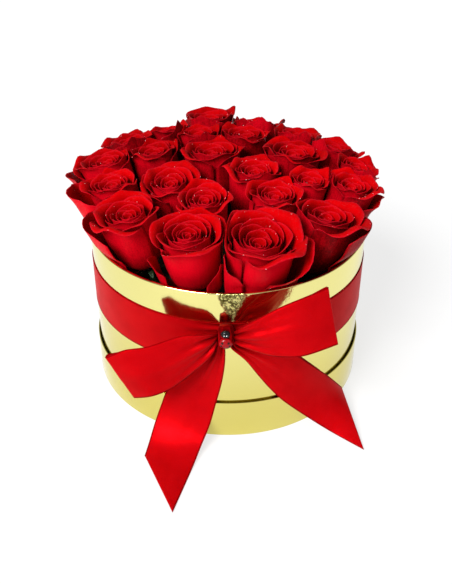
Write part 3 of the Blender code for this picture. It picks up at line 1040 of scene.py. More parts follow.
@dataclass
class Rose:
    """One rose: where it stands, how far it opens, and the petals of its bloom.

    Its sizes are in millimetres and its bearing in degrees, from the right-hand side towards
    the back. Depth is how far the heart lies below the rim, and lift how far the rim stands
    above the bud's top. Droop lowers the side that faces out of the box, rise lifts the one
    that faces its middle, and nod tips it to the front. Its painted back shade darkens its red
    all over, and its painted belly shade darkens the outside of its petals.
    """

    name: str
    radius: float
    bearing: float
    width: float
    depth: float = 5.0
    lift: float = 5.0
    whorls: int = 16
    petal_rows: int = 13
    petal_columns: int = 19
    tone: float = 0.0
    droop: float = 0.0
    rise: float = 0.0
    nod: float = 0.0
    belly: float = 0.2
    guards: tuple[Guard, ...] = ()

    # All the roses lean as if they grew from one point below the table.
    FOCUS = np.array([0.0, 0.0, -135 * MM])
    # Their hearts lie on a low mound, which also rises a little towards the back.
    HEART_EDGE = 165.5 * MM
    HEART_MOUND = 5.5 * MM
    HEART_RISE = 0.08
    DEPTH = 22 * MM
    # Neighbours keep a gap, and petals may spread past the box's rim only above it.
    GAP = 0.65 * MM
    REACH = 131 * MM
    RIM_CLEARANCE = 105 * MM
    RIM_LEVEL = BOX_TOP + 1.5 * MM
    RIM_FLARE = 1.5
    FREE_SHARE = 0.78
    CUP_SHARE = 0.86
    LEVELLING = 0.55
    GOLDEN = math.radians(137.508)
    # The stem, and its hip from the top down in millimetres.
    STEM_RADIUS = 2.5 * MM
    STEM_FOOT = 56 * MM
    STEM_SIDES = 14
    HIP_RADII = (3.0, 3.9, 4.4, 4.2, 3.5, 2.8, 2.55, 2.5)
    HIP_HEIGHTS = (-0.3, -1.2, -3.0, -5.2, -7.2, -9.5, -12.5, -20.0)
    STEM_START = -26 * MM
    SEPAL_HEIGHT = -1.6 * MM
    PETAL_FOOT_FILM = 0.55 * MM
    PETAL_RIM_FILM = 0.26 * MM

    def __post_init__(self) -> None:
        """Works out the axis that the rose grows along."""
        angle = math.radians(self.bearing)
        away = self.radius * MM
        x, y = away * math.cos(angle), away * math.sin(angle)
        mound = self.HEART_MOUND * (1 - (away / BOX_RADIUS) ** 2)
        heart = np.array([x, y, self.HEART_EDGE + mound + self.HEART_RISE * y])
        arm = heart - self.FOCUS
        length = float(np.linalg.norm(arm))
        self.reach = self.width * MM / 2
        self.height = self.DEPTH + self.reach
        self.axis = arm / length
        self.turn = np.array(Vector((0, 0, 1)).rotation_difference(Vector(self.axis)).to_matrix())
        self.lean = math.hypot(x, y) / length
        self.away = angle
        self.base = length - self.height
        self.slope = np.array([x, y]) / arm[2]
        self.normals = np.zeros((0, 2))
        self.limits = np.zeros(0)

    def meet(self, others: "list[Rose]", crowding: dict[tuple[str, str], float]) -> None:
        """Notes the wall between this rose and each neighbour, seen from the focus.

        Args:
            others: All the roses.
            crowding: How far the first of two roses pushes the wall towards the second.
        """
        normals, limits = [], []
        rise = self.axis[2] * (self.base + self.height)
        for other in others:
            if other is self:
                continue
            between = other.slope - self.slope
            far = float(np.linalg.norm(between))
            normals.append(between / far)
            push = crowding.get((self.name, other.name), 0.0)
            push -= crowding.get((other.name, self.name), 0.0)
            limits.append(far * self.reach / (self.reach + other.reach) + push * MM / rise)
        self.normals, self.limits = np.array(normals), np.array(limits)

    @staticmethod
    def eased(value: np.ndarray, limit: np.ndarray, free: float) -> np.ndarray:
        """The value itself at first, and then ever closer to the limit."""
        share = value / limit
        bent = limit * (free + (1 - free) * np.tanh((share - free) / (1 - free)))
        return np.where(share <= free, value, bent)

    def place(
        self, angle: np.ndarray, radius: np.ndarray, height: np.ndarray, hang: float = 0.0
    ) -> np.ndarray:
        """Puts points of the bloom in the world.

        Args:
            angle: Bearings round the rose.
            radius: Distances from its axis.
            height: Heights along it, above the base of the bloom.
            hang: How far past the box's rim a petal may reach.

        Returns:
            Points inside the walls to the neighbours and the box's rim.
        """
        x, y = radius * np.cos(angle), radius * np.sin(angle)
        free = np.stack([x, y, self.base + height], axis=-1)
        point = free @ self.turn.T + self.FOCUS
        rise = point[..., 2] - self.FOCUS[2]
        offset = point[..., :2] / rise[..., None] - self.slope
        length = np.maximum(np.linalg.norm(offset, axis=-1), 1e-9)
        along = offset / length[..., None]
        facing = np.maximum(along @ self.normals.T, 1e-3)
        room = ((self.limits - (self.GAP / rise)[..., None]) / facing).min(axis=-1)
        offset = along * self.eased(length, room, self.FREE_SHARE)[..., None]
        flat = (self.slope + offset) * rise[..., None]
        out = np.maximum(np.linalg.norm(flat, axis=-1), 1e-9)
        above = np.maximum(0, point[..., 2] - self.RIM_LEVEL)
        allowed = self.RIM_CLEARANCE + self.RIM_FLARE * above
        allowed = allowed + hang * np.clip(above / (3 * MM), 0, 1)
        flat *= (self.eased(out, np.minimum(allowed, self.REACH + hang), 0.9) / out)[..., None]
        return np.concatenate([flat, point[..., 2:]], axis=-1)

    def profile(self, form: PetalForm) -> np.ndarray:
        """A petal's middle line from foot to rim, as (radius, height) pairs."""
        closing = form.closing
        shares = np.array(
            [
                [form.foot / form.rim_radius, 0.0],
                [0.62 + 0.10 * closing, 0.09],
                [0.86 + 0.12 * closing, 0.30],
                [0.96 + 0.10 * closing, 0.64],
                [1.0, 1.0],
            ]
        )
        # A rolled rim curls over its length, so the petal starts longer by what the curl takes.
        reach = math.sin(min(form.roll, math.pi / 2)) / max(form.roll, 0.01)
        curled = form.roll_length * (1 - reach)
        return catmull(shares, 14) * np.array([form.rim_radius, form.rim_height + curled])

    def petal(self, form: PetalForm, hang: float = 0.0) -> tuple[np.ndarray, np.ndarray]:
        """One petal's middle surface.

        Args:
            form: The petal.
            hang: How far past the box's rim it may reach.

        Returns:
            The grid of points, and its UV.
        """
        line = self.profile(form)
        steps = np.diff(line, axis=0)
        run = np.concatenate([[0], np.cumsum(np.hypot(steps[:, 0], steps[:, 1]))])
        lean = np.arctan2(np.gradient(line[:, 0]), np.gradient(line[:, 1]))
        u = np.linspace(-1, 1, self.petal_columns)[None, :]
        v = 1 - (1 - np.linspace(0, 1, self.petal_rows)[:, None]) ** 1.7
        point = np.exp(-((u / 0.2) ** 2))
        nicks = 0.3 * MM * np.sin(9.5 * u + 3 * form.phase) * np.sin(4.1 * u + form.phase)
        reach = run[-1] * (1 - form.corner * np.abs(u) ** form.corner_power)
        reach = reach + form.tip * point + nicks
        s = reach * v
        lean = np.interp(s.ravel(), run, lean).reshape(s.shape)
        near = np.clip(1 - (reach - s) / form.roll_length, 0, 1)
        roll = form.roll * (1 - np.abs(u) ** 2.6) * near**1.2
        ripple = form.wave * np.sin(2.6 * math.pi * u + form.phase) * v**5
        lean = lean + roll + ripple
        middle = (lean[1:] + lean[:-1]) / 2
        ds = np.diff(s, axis=0)
        zero = np.zeros((1, self.petal_columns))
        radius = form.foot + np.concatenate([zero, np.cumsum(np.sin(middle) * ds, axis=0)])
        height = np.concatenate([zero, np.cumsum(np.cos(middle) * ds, axis=0)])
        radius = np.maximum(radius * (1 + form.twist * u * v), 0.4 * MM)
        spread = 0.72 + 0.28 * np.clip(v / 0.4, 0, 1)
        angle = form.angle + form.half_width * u * spread
        facing = np.cos(angle - self.away)
        level = self.LEVELLING * self.lean * radius * facing * v**2
        sunk = self.droop * (0.5 + 0.5 * facing) ** 1.5 - self.rise * (0.5 - 0.5 * facing) ** 1.5
        sunk = sunk - self.nod * np.sin(angle)
        level = level - sunk * MM * v**2 * form.rim_radius / self.reach
        grid = self.place(angle, radius, height + level, hang)
        u, v = np.broadcast_to((u + 1) / 2, s.shape), np.broadcast_to(v, s.shape)
        return grid, np.stack([u, v], axis=-1)

    def forms(self) -> list[PetalForm]:
        """The petals of the bloom, from the heart outwards."""
        draw = np.random.default_rng(sum(ord(c) * 7 for c in self.name) + 11)
        start = draw.uniform(0, math.tau)
        cup = self.CUP_SHARE * self.reach
        scale = self.reach / (28 * MM)
        curl = 100 - 5 * self.droop
        longest = 2.4 + 0.15 * self.droop
        made = []
        for k in range(self.whorls):
            share = k / (self.whorls - 1)
            tight = max(0.0, 1 - share / 0.35)
            outer = max(0.0, (share - 0.62) / 0.38)
            rim = self.lift - self.depth * (1 - share) ** 1.4 - 1.5 * outer**2
            roll = 14 + 26 * share + curl * outer**0.8 + draw.uniform(-12, 12) * share
            made.append(
                PetalForm(
                    angle=start + k * self.GOLDEN + draw.uniform(-0.16, 0.16),
                    half_width=math.radians(78 + 45 * tight - 14 * outer + draw.uniform(-5, 5)),
                    rim_radius=2.0 * MM + (cup - 2.0 * MM) * share**0.95,
                    rim_height=self.height + (rim + draw.uniform(-0.6, 0.6) * share) * MM,
                    foot=(1.2 + 3.4 * share) * MM,
                    closing=max(0.0, 1 - share / 0.6),
                    roll=math.radians(roll),
                    roll_length=(2.6 + 2.4 * share + 6.0 * outer) * MM * scale,
                    tip=(0.6 + 1.1 * share + longest * outer * draw.uniform(0.5, 1.3)) * MM,
                    corner=0.05 + 0.03 * share + 0.1 * outer,
                    wave=(0.03 + 0.14 * outer) * draw.uniform(0.4, 1.3),
                    phase=draw.uniform(0, math.tau),
                    twist=0.06 * tight,
                )
            )
        return made

    def build(
        self, velvet: bpy.types.Material, dew: bpy.types.Material, scatter: Recipe
    ) -> bpy.types.Object:
        """Builds the bloom with its dew.

        Args:
            velvet: The petals' finish.
            dew: The drops' finish.
            scatter: The tree that scatters the drops.

        Returns:
            The bloom, as one piece.
        """
        sheet = Sheet()
        draw = np.random.default_rng(len(self.name) + sum(ord(c) for c in self.name))
        every = [(form, 0.0) for form in self.forms()]
        full = self.CUP_SHARE * self.reach
        every += [(guard.form(full, self.height), guard.hang * MM) for guard in self.guards]
        for form, hang in every:
            grid, uv = self.petal(form, hang)
            rows = grid.shape[0]
            thin = np.linspace(self.PETAL_FOOT_FILM, self.PETAL_RIM_FILM, rows)[:, None]
            thick = np.broadcast_to(thin, grid.shape[:2])
            shade = float(draw.uniform(0, 1))
            add_shell(sheet, grid, thick, uv, petal=shade, tone=self.tone, belly=self.belly)
            rim = np.clip((uv[..., 1].ravel() - 0.8) / 0.2, 0, 1) ** 2
            sheet.numbers.setdefault("rim", []).append(np.concatenate([rim * 0.2, rim]))
        mesh = sheet.mesh("bloom of rose " + self.name)
        mesh.materials.append(velvet)
        dewy = scatter.run(mesh, Seed=ord(self.name) * 3, Finish=dew)
        piece = new_piece("bloom_" + self.name, dewy)
        return dress(piece, Slot.PETALS, "rose_bloom_" + self.name)

    def build_stem(self, green: bpy.types.Material, calyx: Recipe) -> bpy.types.Object:
        """Builds the stem, its swollen hip and its sepals, as one piece."""
        end = (self.STEM_FOOT - self.FOCUS[2]) / self.axis[2] - self.base
        stem_heights = np.linspace(self.STEM_START, end, 6)
        heights = np.concatenate([np.array(self.HIP_HEIGHTS) * MM, stem_heights])
        radii = np.concatenate([np.array(self.HIP_RADII) * MM, np.full(6, self.STEM_RADIUS)])
        angles = np.arange(self.STEM_SIDES) * math.tau / self.STEM_SIDES
        x, y = radii[:, None] * np.cos(angles), radii[:, None] * np.sin(angles)
        rings = np.stack([x, y, np.broadcast_to(heights[:, None], x.shape)], axis=-1)
        name = "stem of rose " + self.name
        stem = closed_body(name, rings, [(0, 0, heights[0]), (0, 0, heights[-1])], flip=True)
        stem.materials.append(green)
        sepals = calyx.run(bpy.data.meshes.new("bud"), Seed=ord(self.name), Finish=green)
        sepals.transform(Matrix.Translation((0, 0, self.SEPAL_HEIGHT)))
        foot = Matrix.Translation(Vector(self.FOCUS + self.axis * self.base))
        piece = new_piece("stem_" + self.name, joined([stem, sepals], name))
        piece.data.transform(foot @ Matrix(self.turn).to_4x4())
        return dress(piece, Slot.STEMS, "rose_stem_" + self.name)


def joined(meshes: list[bpy.types.Mesh], name: str) -> bpy.types.Mesh:
    """Several meshes as one, with their materials."""
    objects = []
    for mesh in meshes:
        made = bpy.data.objects.new("part", mesh)
        bpy.context.scene.collection.objects.link(made)
        objects.append(made)
    with bpy.context.temp_override(active_object=objects[0], selected_editable_objects=objects):
        bpy.ops.object.join()
    kept = objects[0].data
    bpy.data.objects.remove(objects[0])
    kept.name = name
    return kept


@dataclass
class Bouquet:
    """All the roses of the box, as the florist placed them.

    The plan gives each rose's distance from the middle in mm, its bearing in degrees from
    the right-hand side towards the back, its width in mm, how far its heart lies below its
    rim in mm, and how far the rim stands above the top of the bud in mm.
    """

    plan: dict[str, tuple[float, float, float, float, float]] = field(
        default_factory=lambda: {
            "a": (91, 217, 52, 6, 6), "b": (84, 251, 56, 4, 5), "c": (88, 285, 62, 13, 9),
            "d": (91, 323, 56, 6, 6), "e": (46, 192, 47, 5, 2), "f": (41, 245, 45, 5, 4),
            "g": (46, 320, 48, 5, 4), "h": (63, 352, 38, 4, 4), "i": (96, 354, 46, 5, 4),
            "j": (91, 188, 46, 5, 4), "k": (103, 166, 52, 5, 4), "l": (72, 150, 46, 5, 4),
            "m": (38, 112, 54, 6, 4), "n": (21, 10, 46, 5, 4), "o": (64, 34, 56, 5, 4),
            "p": (103, 32, 50, 5, 4), "q": (67, 79, 48, 5, 4), "r": (72, 111, 42, 5, 4),
            "s": (103, 145, 50, 5, 4), "t": (99, 124, 50, 5, 3), "u": (104, 100, 52, 5, 4),
            "v": (99, 76, 50, 5, 3), "w": (92, 51, 48, 5, 4), "x": (106, 12, 42, 5, 4),
        }
    )
    guards: dict[str, tuple[Guard, ...]] = field(
        default_factory=lambda: {
            "a": (Guard(188, -1, 6, reach=1.4, half_width=58, hang=4, corner=0.1, wave=0.08),),
            "b": (
                Guard(203, 14, 35, reach=1.22, half_width=26, roll_length=9, wave=0.04),
                Guard(318, 14, 30, reach=1.28, half_width=26, roll_length=9, corner=0.3, wave=0.04),
            ),
            "c": (
                Guard(218, 3, 20, reach=1.2, half_width=36, corner=0.3),
                Guard(350, 0, 45, reach=1.34, half_width=75, corner=0.5, hang=6),
                Guard(303, 26, 110, reach=1.32, half_width=18, roll_length=16, hang=10),
            ),
            "d": (Guard(350, -1, 4, reach=1.3, half_width=54, hang=3, corner=0.1, wave=0.05),),
            "i": (Guard(345, 4, 35, half_width=50, hang=4),),
            "j": (Guard(195, -3, 12, reach=1.55, half_width=62, hang=10, corner=0.1),),
            "k": (Guard(196, 1, 30, reach=1.3, half_width=50, hang=8),),
            "u": (Guard(46, 5, 4, reach=1.35, half_width=44, tip=0, wave=0.05),),
            "v": (Guard(124, 7, 4, reach=1.35, half_width=44, tip=0, wave=0.05),),
        }
    )
    crowding: dict[tuple[str, str], float] = field(
        default_factory=lambda: {("c", "d"): 7.0, ("b", "c"): 3.0}
    )
    droops: dict[str, float] = field(
        default_factory=lambda: {
            "s": 6.0, "t": 10.0, "v": 9.0, "w": 6.0, "p": 9.0, "x": 8.0, "k": 3.0
        }
    )
    rises: dict[str, float] = field(default_factory=lambda: {"c": 4.0})
    nods: dict[str, float] = field(default_factory=lambda: {"d": -4.0, "e": 4.5, "f": 2.5})
    # Painted shade on the petals' outsides: most on d and i at the right, none on a, b, c, j and k.
    belly_shades: dict[str, float] = field(
        default_factory=lambda: {
            "a": 0.0, "b": 0.0, "c": 0.0, "d": 0.6, "i": 0.5, "j": 0.0, "k": 0.0
        }
    )
    belly: float = 0.22
    fewest_whorls: int = 15
    # Painted shade on the roses at the back of the box: how much, where it starts and how it fades.
    back_tone: float = 0.42
    back_from: float = 15.0
    back_fade: float = 40.0

    def tone(self, radius: float, bearing: float) -> float:
        """How much painted shade darkens a rose's red: most for the roses at the back of the box."""
        back = radius * math.sin(math.radians(bearing))
        return self.back_tone * (0.5 + 0.5 * math.tanh((back - self.back_from) / self.back_fade))

    def build(self) -> None:
        """Builds every rose and its stem."""
        velvet, dew, green = PetalVelvet().make(), DewDrop().make(), LeafGreen().make()
        scatter, calyx = dew_recipe(), sepal_recipe()
        roses = [
            Rose(
                name,
                radius,
                bearing,
                width,
                depth,
                lift,
                whorls=self.fewest_whorls + ord(name) % 4,
                tone=self.tone(radius, bearing),
                droop=self.droops.get(name, 0.0),
                rise=self.rises.get(name, 0.0),
                nod=self.nods.get(name, 0.0),
                belly=self.belly_shades.get(name, self.belly),
                guards=self.guards.get(name, ()),
            )
            for name, (radius, bearing, width, depth, lift) in self.plan.items()
        ]
        for rose in roses:
            rose.meet(roses, self.crowding)
        for rose in roses:
            rose.build(velvet, dew, scatter)
            rose.build_stem(green, calyx)


# The box and what it holds


@dataclass
class HatBox:
    """The foil box, the lid that serves as its tray, the liner and the foam."""

    card: float = 2.5 * MM
    tray_wall: float = 1.5 * MM
    tray_floor: float = 2.2 * MM
    tray_top: float = 33.4 * MM
    clearance: float = 0.3 * MM
    chamfer: float = 0.7 * MM
    axis_gap: float = 0.6 * MM

    @staticmethod
    def turned(
        name: str, profile: list[tuple[float, float]], recipe: Recipe, finish: bpy.types.Material
    ) -> bpy.types.Mesh:
        """A profile of (radius, height) pairs, turned into a closed mesh."""
        start = bpy.data.meshes.new(name)
        points = [(radius - BOX_RADIUS, -height, 0.0) for radius, height in profile]
        edges = [(i, (i + 1) % len(points)) for i in range(len(points))]
        start.from_pydata(points, edges, [])
        return recipe.run(start, Finish=finish)

    @staticmethod
    def rounded(corners: list[Triple]) -> list[tuple[float, float]]:
        """Rounds a closed profile's corners.

        Args:
            corners: (radius, height, rounding) of each corner.

        Returns:
            The profile with each corner as an arc of five points.
        """
        made = []
        for i, (r, z, rounding) in enumerate(corners):
            here = np.array([r, z])
            before = np.array(corners[i - 1][:2])
            after = np.array(corners[(i + 1) % len(corners)][:2])
            if rounding <= 0:
                made.append((r, z))
                continue
            to_before = (before - here) / np.linalg.norm(before - here)
            to_after = (after - here) / np.linalg.norm(after - here)
            for t in np.linspace(0, 1, 5):
                a, b = here + to_before * rounding, here + to_after * rounding
                point = (1 - t) ** 2 * a + 2 * t * (1 - t) * here + t**2 * b
                made.append((float(point[0]), float(point[1])))
        return made

    def build(self) -> None:
        """Builds the box and the tray, and gives the liner and the foam their finishes."""
        foil = GoldFoil().make()
        recipe = turned_recipe()
        bottom = self.tray_floor + self.clearance
        inside = BOX_RADIUS - self.card
        axis = self.axis_gap
        body = self.rounded(
            [
                (axis, bottom + self.card, 0),
                (inside, bottom + self.card, 0.5 * MM),
                (inside, BOX_TOP, 0.9 * MM),
                (BOX_RADIUS, BOX_TOP, 0.9 * MM),
                (BOX_RADIUS, bottom, 0.8 * MM),
                (axis, bottom, 0),
            ]
        )
        mesh = self.turned("box body", body, recipe, foil)
        dress(new_piece("foil_box", mesh), Slot.FOIL, "box_body")
        inner = BOX_RADIUS + self.clearance
        tray = self.rounded(
            [
                (axis, self.tray_floor, 0),
                (inner, self.tray_floor, 0.4 * MM),
                (inner, self.tray_top - 1.6 * MM, 0.3 * MM),
                (inner + self.chamfer, self.tray_top, 0.3 * MM),
                (inner + self.tray_wall, self.tray_top, 0.35 * MM),
                (inner + self.tray_wall, 0, 0.9 * MM),
                (axis, 0, 0),
            ]
        )
        mesh = self.turned("lid tray", tray, recipe, foil)
        dress(new_piece("foil_lid", mesh), Slot.FOIL, "lid_tray")
        frame_nodes = {"liner": DarkFilm().make(), "floral_foam": WetFoam().make()}
        for name, finish in frame_nodes.items():
            node = bpy.data.objects[name]
            node.data.materials.clear()
            node.data.materials.append(finish)


# The ribbon


class BowPart(Enum):
    """The parts of the bow that are strips of ribbon."""

    LOOP_LEFT = "bow_loop_left"
    LOOP_RIGHT = "bow_loop_right"
    TAIL_LEFT = "bow_tail_left"
    TAIL_RIGHT = "bow_tail_right"


@dataclass
class Ribbon:
    """The satin band round the box, the bow, and the ladybird on its knot.

    Each strip's stations give its two edges as (degrees from the front, radius, height),
    in millimetres, from the knot outwards.
    """

    film: float = 0.42 * MM
    stand_off: float = 0.35 * MM
    floor_gap: float = 0.4 * MM
    band_middle: float = 89.7 * MM
    band_steps: int = 360
    band_pleat: float = 0.55 * MM
    band_slack: float = 0.25 * MM
    gather: float = math.radians(15)
    narrowing: float = 0.46
    drawn_up: float = 8.2 * MM
    darkest_fold_shade: float = 0.85
    knot_size: Triple = (11.6 * MM, 8 * MM, 18 * MM)
    knot_power: float = 0.75
    knot_middle: Triple = (0.0, -116.8 * MM, 102.5 * MM)
    columns: int = 33
    parts: int = 9
    pleat_depth: float = 1.7 * MM
    pleat_reach: float = 24 * MM
    stations: dict[BowPart, list] = field(
        default_factory=lambda: {
            BowPart.LOOP_LEFT: [
                ((-3.02, 117, 104.5), (-3.02, 117, 96)),
                ((-8.4, 124, 107.7), (-5.5, 121, 86.2)),
                ((-14.5, 128, 106.8), (-10.8, 127, 74.7)),
                ((-22.7, 140, 101.2), (-16.3, 136.5, 65.3)),
                ((-28.3, 148.5, 98.9), (-20.8, 146, 62.2)),
                ((-32.9, 153.5, 91.2), (-25.9, 148, 57.2)),
                ((-33.5, 152.6, 90.5), (-26.5, 146.9, 56.6)),
                ((-33.3, 150.5, 91.2), (-26.1, 145, 57.3)),
                ((-30.6, 141.5, 90.7), (-22.4, 139, 56.3)),
                ((-25.4, 130, 90.9), (-18.1, 126.5, 57)),
                ((-15.8, 120, 99.2), (-11.8, 119, 68.9)),
                ((-8.9, 119, 102.7), (-5.8, 116, 83.3)),
                ((-3.1, 113.7, 103), (-3.1, 113.7, 95)),
            ],
            BowPart.LOOP_RIGHT: [
                ((3.02, 117, 105.5), (3.02, 117, 96)),
                ((7.8, 124.5, 118.7), (8.7, 125, 95.7)),
                ((12.6, 126.5, 125.8), (12.6, 131.5, 95.1)),
                ((17, 129, 132.3), (16, 137.5, 96.2)),
                ((23.4, 131, 137.4), (21.9, 145.5, 99.4)),
                ((31.1, 132.5, 141), (30.6, 149.5, 104)),
                ((31.8, 131.5, 140.7), (31.3, 148.5, 103.7)),
                ((31.4, 129.8, 139.7), (30.9, 146.8, 102.7)),
                ((25.3, 124, 130.8), (23.5, 138.5, 94.2)),
                ((18.8, 119.5, 124), (17.6, 128, 89.1)),
                ((13.6, 119, 119.1), (13.5, 124, 90)),
                ((8.2, 119.5, 114), (9.1, 120, 92.8)),
                ((3.1, 113.7, 104), (3.1, 113.7, 95)),
            ],
            BowPart.TAIL_LEFT: [
                ((-4.6, 112, 96), (-0.4, 112, 96)),
                ((-5.4, 112, 84), (-0.4, 112, 86)),
                ((-10, 112.2, 69.5), (-0.3, 112.6, 75)),
                ((-15.7, 113, 55), (-1.4, 113.8, 57)),
                ((-22, 115.2, 43.5), (-3.6, 116.5, 37.5)),
                ((-24.4, 119.8, 28), (-5.6, 122, 20.5)),
                ((-25.3, 127.5, 14.5), (-8, 132, 7)),
                ((-25.2, 137, 4), (-9.5, 153, 0.9)),
                ((-24.1, 149, 0.9), (-10.8, 193, 0.9)),
            ],
            BowPart.TAIL_RIGHT: [
                ((4.6, 112, 96), (0.4, 112, 96)),
                ((5.6, 112.2, 90), (2.2, 112.2, 87.5)),
                ((13.4, 112.4, 84), (7.5, 112.4, 76)),
                ((20.4, 112.6, 80.5), (12.2, 112.8, 61.5)),
                ((27.3, 112.8, 72.5), (16.9, 114.2, 47.5)),
                ((34.1, 113.2, 58.5), (22.4, 117, 33.5)),
                ((43.5, 113.6, 38.8), (30.9, 123, 15.5)),
                ((49.2, 114.4, 25.6), (37.5, 138, 2.6)),
                ((54.5, 116, 12.5), (40.2, 165, 1.1)),
            ],
        }
    )

    @staticmethod
    def steps_of(line: np.ndarray) -> np.ndarray:
        """The distance from each point of a line to the next."""
        return np.linalg.norm(np.diff(line, axis=0), axis=1)

    def strip(self, part: BowPart) -> tuple[np.ndarray, np.ndarray, np.ndarray]:
        """The middle surface of one strip of the bow, its UV, and its painted shade in the folds."""
        stations = self.stations[part]
        sides = [
            catmull(np.array([on_wall(*station[side]) for station in stations]) * MM, self.parts)
            for side in (0, 1)
        ]
        u = np.linspace(0, 1, self.columns)[None, :, None]
        grid = sides[0][:, None] * (1 - u) + sides[1][:, None] * u
        middle = grid[:, self.columns // 2]
        run = np.concatenate([[0], np.cumsum(self.steps_of(middle))])
        normal = grid_normals(grid)
        outward = np.array([middle[0][0], middle[0][1], 0])
        if (normal[self.parts, self.columns // 2] @ outward) < 0:
            normal = -normal
        total = run[-1]
        loop = part in (BowPart.LOOP_LEFT, BowPart.LOOP_RIGHT)
        knot = np.minimum(run, total - run) if loop else run
        across = u[..., 0]
        turns = across * math.tau
        near = np.exp(-knot / self.pleat_reach)[:, None]
        drift = knot[:, None] / RIBBON_WIDTH
        pleats = np.sin(turns * 2.2 + 0.6 + 0.5 * drift) + 0.5 * np.sin(turns * 4.3 + 2.0 - drift)
        # Painted shade in the valleys between pleats, and more of it close to the knot.
        fold_shade = np.clip(0.35 - 0.45 * pleats, 0, 1) * near**1.6
        fold_shade = fold_shade + 0.6 * np.exp(-knot / (5 * MM))[:, None]
        pleats *= self.pleat_depth * near * np.clip(knot / (6 * MM), 0.3, 1)[:, None]
        bulge = 4 * across * (1 - across)
        if loop:
            height = np.where(run < total / 2, 3.0, 0.6) * MM
            puff = height * np.sin(math.pi * np.clip(knot / (total / 2), 0, 1)) ** 0.8
        else:
            puff = 1.2 * MM * np.sin(math.pi * np.clip(run / total, 0, 1))
        grid = grid + normal * (pleats + puff[:, None] * bulge)[..., None]
        size = grid.shape[:2]
        uv = np.stack([np.broadcast_to(across, size), np.broadcast_to(run[:, None], size)], axis=-1)
        return grid, uv, np.clip(fold_shade, 0, self.darkest_fold_shade)

    @staticmethod
    def edge(
        line: np.ndarray, recipe: Recipe, satin: bpy.types.Material, ring: bool = False
    ) -> bpy.types.Mesh:
        """A woven edge along a line of points."""
        start = bpy.data.meshes.new("edge")
        last = len(line) - 1
        edges = [(i, i + 1) for i in range(last)] + ([(last, 0)] if ring else [])
        start.from_pydata([tuple(p) for p in line], edges, [])
        return recipe.run(start, Finish=satin)

    def build_strip(self, part: BowPart, satin: bpy.types.Material, recipe: Recipe) -> None:
        grid, uv, fold_shade = self.strip(part)
        grid[..., 2] = np.maximum(grid[..., 2], self.floor_gap)
        sheet = Sheet()
        add_shell(sheet, grid, self.film, uv)
        sheet.numbers["fold_shade"] = [fold_shade.ravel()] * 2
        cloth = sheet.mesh(part.value)
        cloth.materials.append(satin)
        edges = [self.edge(grid[:, column], recipe, satin) for column in (0, -1)]
        piece = new_piece("satin_" + part.value, joined([cloth, *edges], part.value))
        dress(piece, Slot.SATIN, part.value)

    def build_band(self, satin: bpy.types.Material, recipe: Recipe) -> None:
        """Builds the band round the box, gathered in pleats where the bow is tied."""
        angle = np.arange(self.band_steps) * math.tau / self.band_steps
        from_front = (angle - 1.5 * math.pi + math.pi) % math.tau - math.pi
        pull = np.exp(-((from_front / self.gather) ** 2))[None, :]
        across = np.linspace(-1, 1, self.columns)[:, None]
        pleat = self.band_pleat * pull * np.cos(across * math.pi * 3.5 + from_front * 3)
        slack = self.band_slack * np.sin(5 * angle + 0.7) * np.sin(2 * angle) * (1 - across**2)
        lifted = np.maximum(pleat + self.band_pleat * pull, 0) + np.abs(slack)
        radius = BOX_RADIUS + self.stand_off + lifted
        half = RIBBON_WIDTH / 2 * (1 - self.narrowing * pull)
        z = self.band_middle + self.drawn_up * pull + across * half
        grid = np.stack([radius * np.cos(angle), radius * np.sin(angle), z], axis=-1)
        u = np.broadcast_to((across + 1) / 2, z.shape)
        uv = np.stack([u, np.broadcast_to(angle * BOX_RADIUS, z.shape)], axis=-1)
        sheet = Sheet()
        add_shell(sheet, grid, self.film, uv, ring=True)
        # Painted shade in the valleys of the band's pleats, where it is gathered at the bow.
        fold_shade = np.clip(0.5 - pleat / (0.8 * MM), 0, 1) * pull**2 * 0.7
        sheet.numbers["fold_shade"] = [fold_shade.ravel()] * 2
        cloth = sheet.mesh("ribbon band")
        cloth.materials.append(satin)
        edges = [self.edge(grid[row], recipe, satin, ring=True) for row in (0, -1)]
        piece = new_piece("satin_band", joined([cloth, *edges], "ribbon band"))
        dress(piece, Slot.SATIN, "ribbon_band")

    def build_knot(self, satin: bpy.types.Material) -> None:
        """Builds the knot: a short wrap of ribbon with soft upright pleats."""
        rows, columns = 25, 48
        v = np.linspace(-1, 1, rows)[:, None]
        a = np.arange(columns)[None, :] * math.tau / columns
        cos, sin = np.cos(a), np.sin(a)
        wide = np.sign(cos) * np.abs(cos) ** self.knot_power
        deep = np.sign(sin) * np.abs(sin) ** self.knot_power
        end = (1 - np.abs(v) ** 3) ** 0.5 * 0.35 + 0.65
        pinch = 1 - 0.08 * (1 - v**2)
        pleats = 1 + 0.06 * np.cos(7 * a + 1.2 * v)
        x = self.knot_middle[0] + self.knot_size[0] / 2 * wide * end * pinch * pleats
        y = self.knot_middle[1] + self.knot_size[1] / 2 * deep * end * pleats * 0.97
        z = np.broadcast_to(self.knot_middle[2] + self.knot_size[2] / 2 * v, x.shape)
        rings = np.stack([x, y, z], axis=-1)
        mesh = closed_body("bow knot", rings, [rings[0].mean(0), rings[-1].mean(0)])
        layer = mesh.uv_layers.new(name="weave")
        for loop in mesh.loops:
            point = mesh.vertices[loop.vertex_index].co
            layer.data[loop.index].uv = (0.5 + point[0] / self.knot_size[0] * 0.8, point[2])
        # Painted shade in the knot's pleats and over its top.
        depth = 0.5 - 5.0 * (pleats - 1) + 0.5 * np.clip((v - 0.2) / 0.5, 0, 1)
        depth = np.clip(np.append(depth.ravel(), [0.6, 0.6]), 0, self.darkest_fold_shade)
        painted_fold_shade = mesh.attributes.new("fold_shade", "FLOAT", "POINT")
        painted_fold_shade.data.foreach_set("value", depth.astype(np.float32))
        dress(new_piece("bow_knot_satin", mesh, satin), Slot.SATIN, "bow_knot")

    def build(self) -> None:
        """Builds the band, the bow, the knot and the ladybird."""
        satin = RedSatin().make()
        recipe = edge_recipe()
        self.build_knot(satin)
        self.build_band(satin, recipe)
        for part in BowPart:
            self.build_strip(part, satin, recipe)


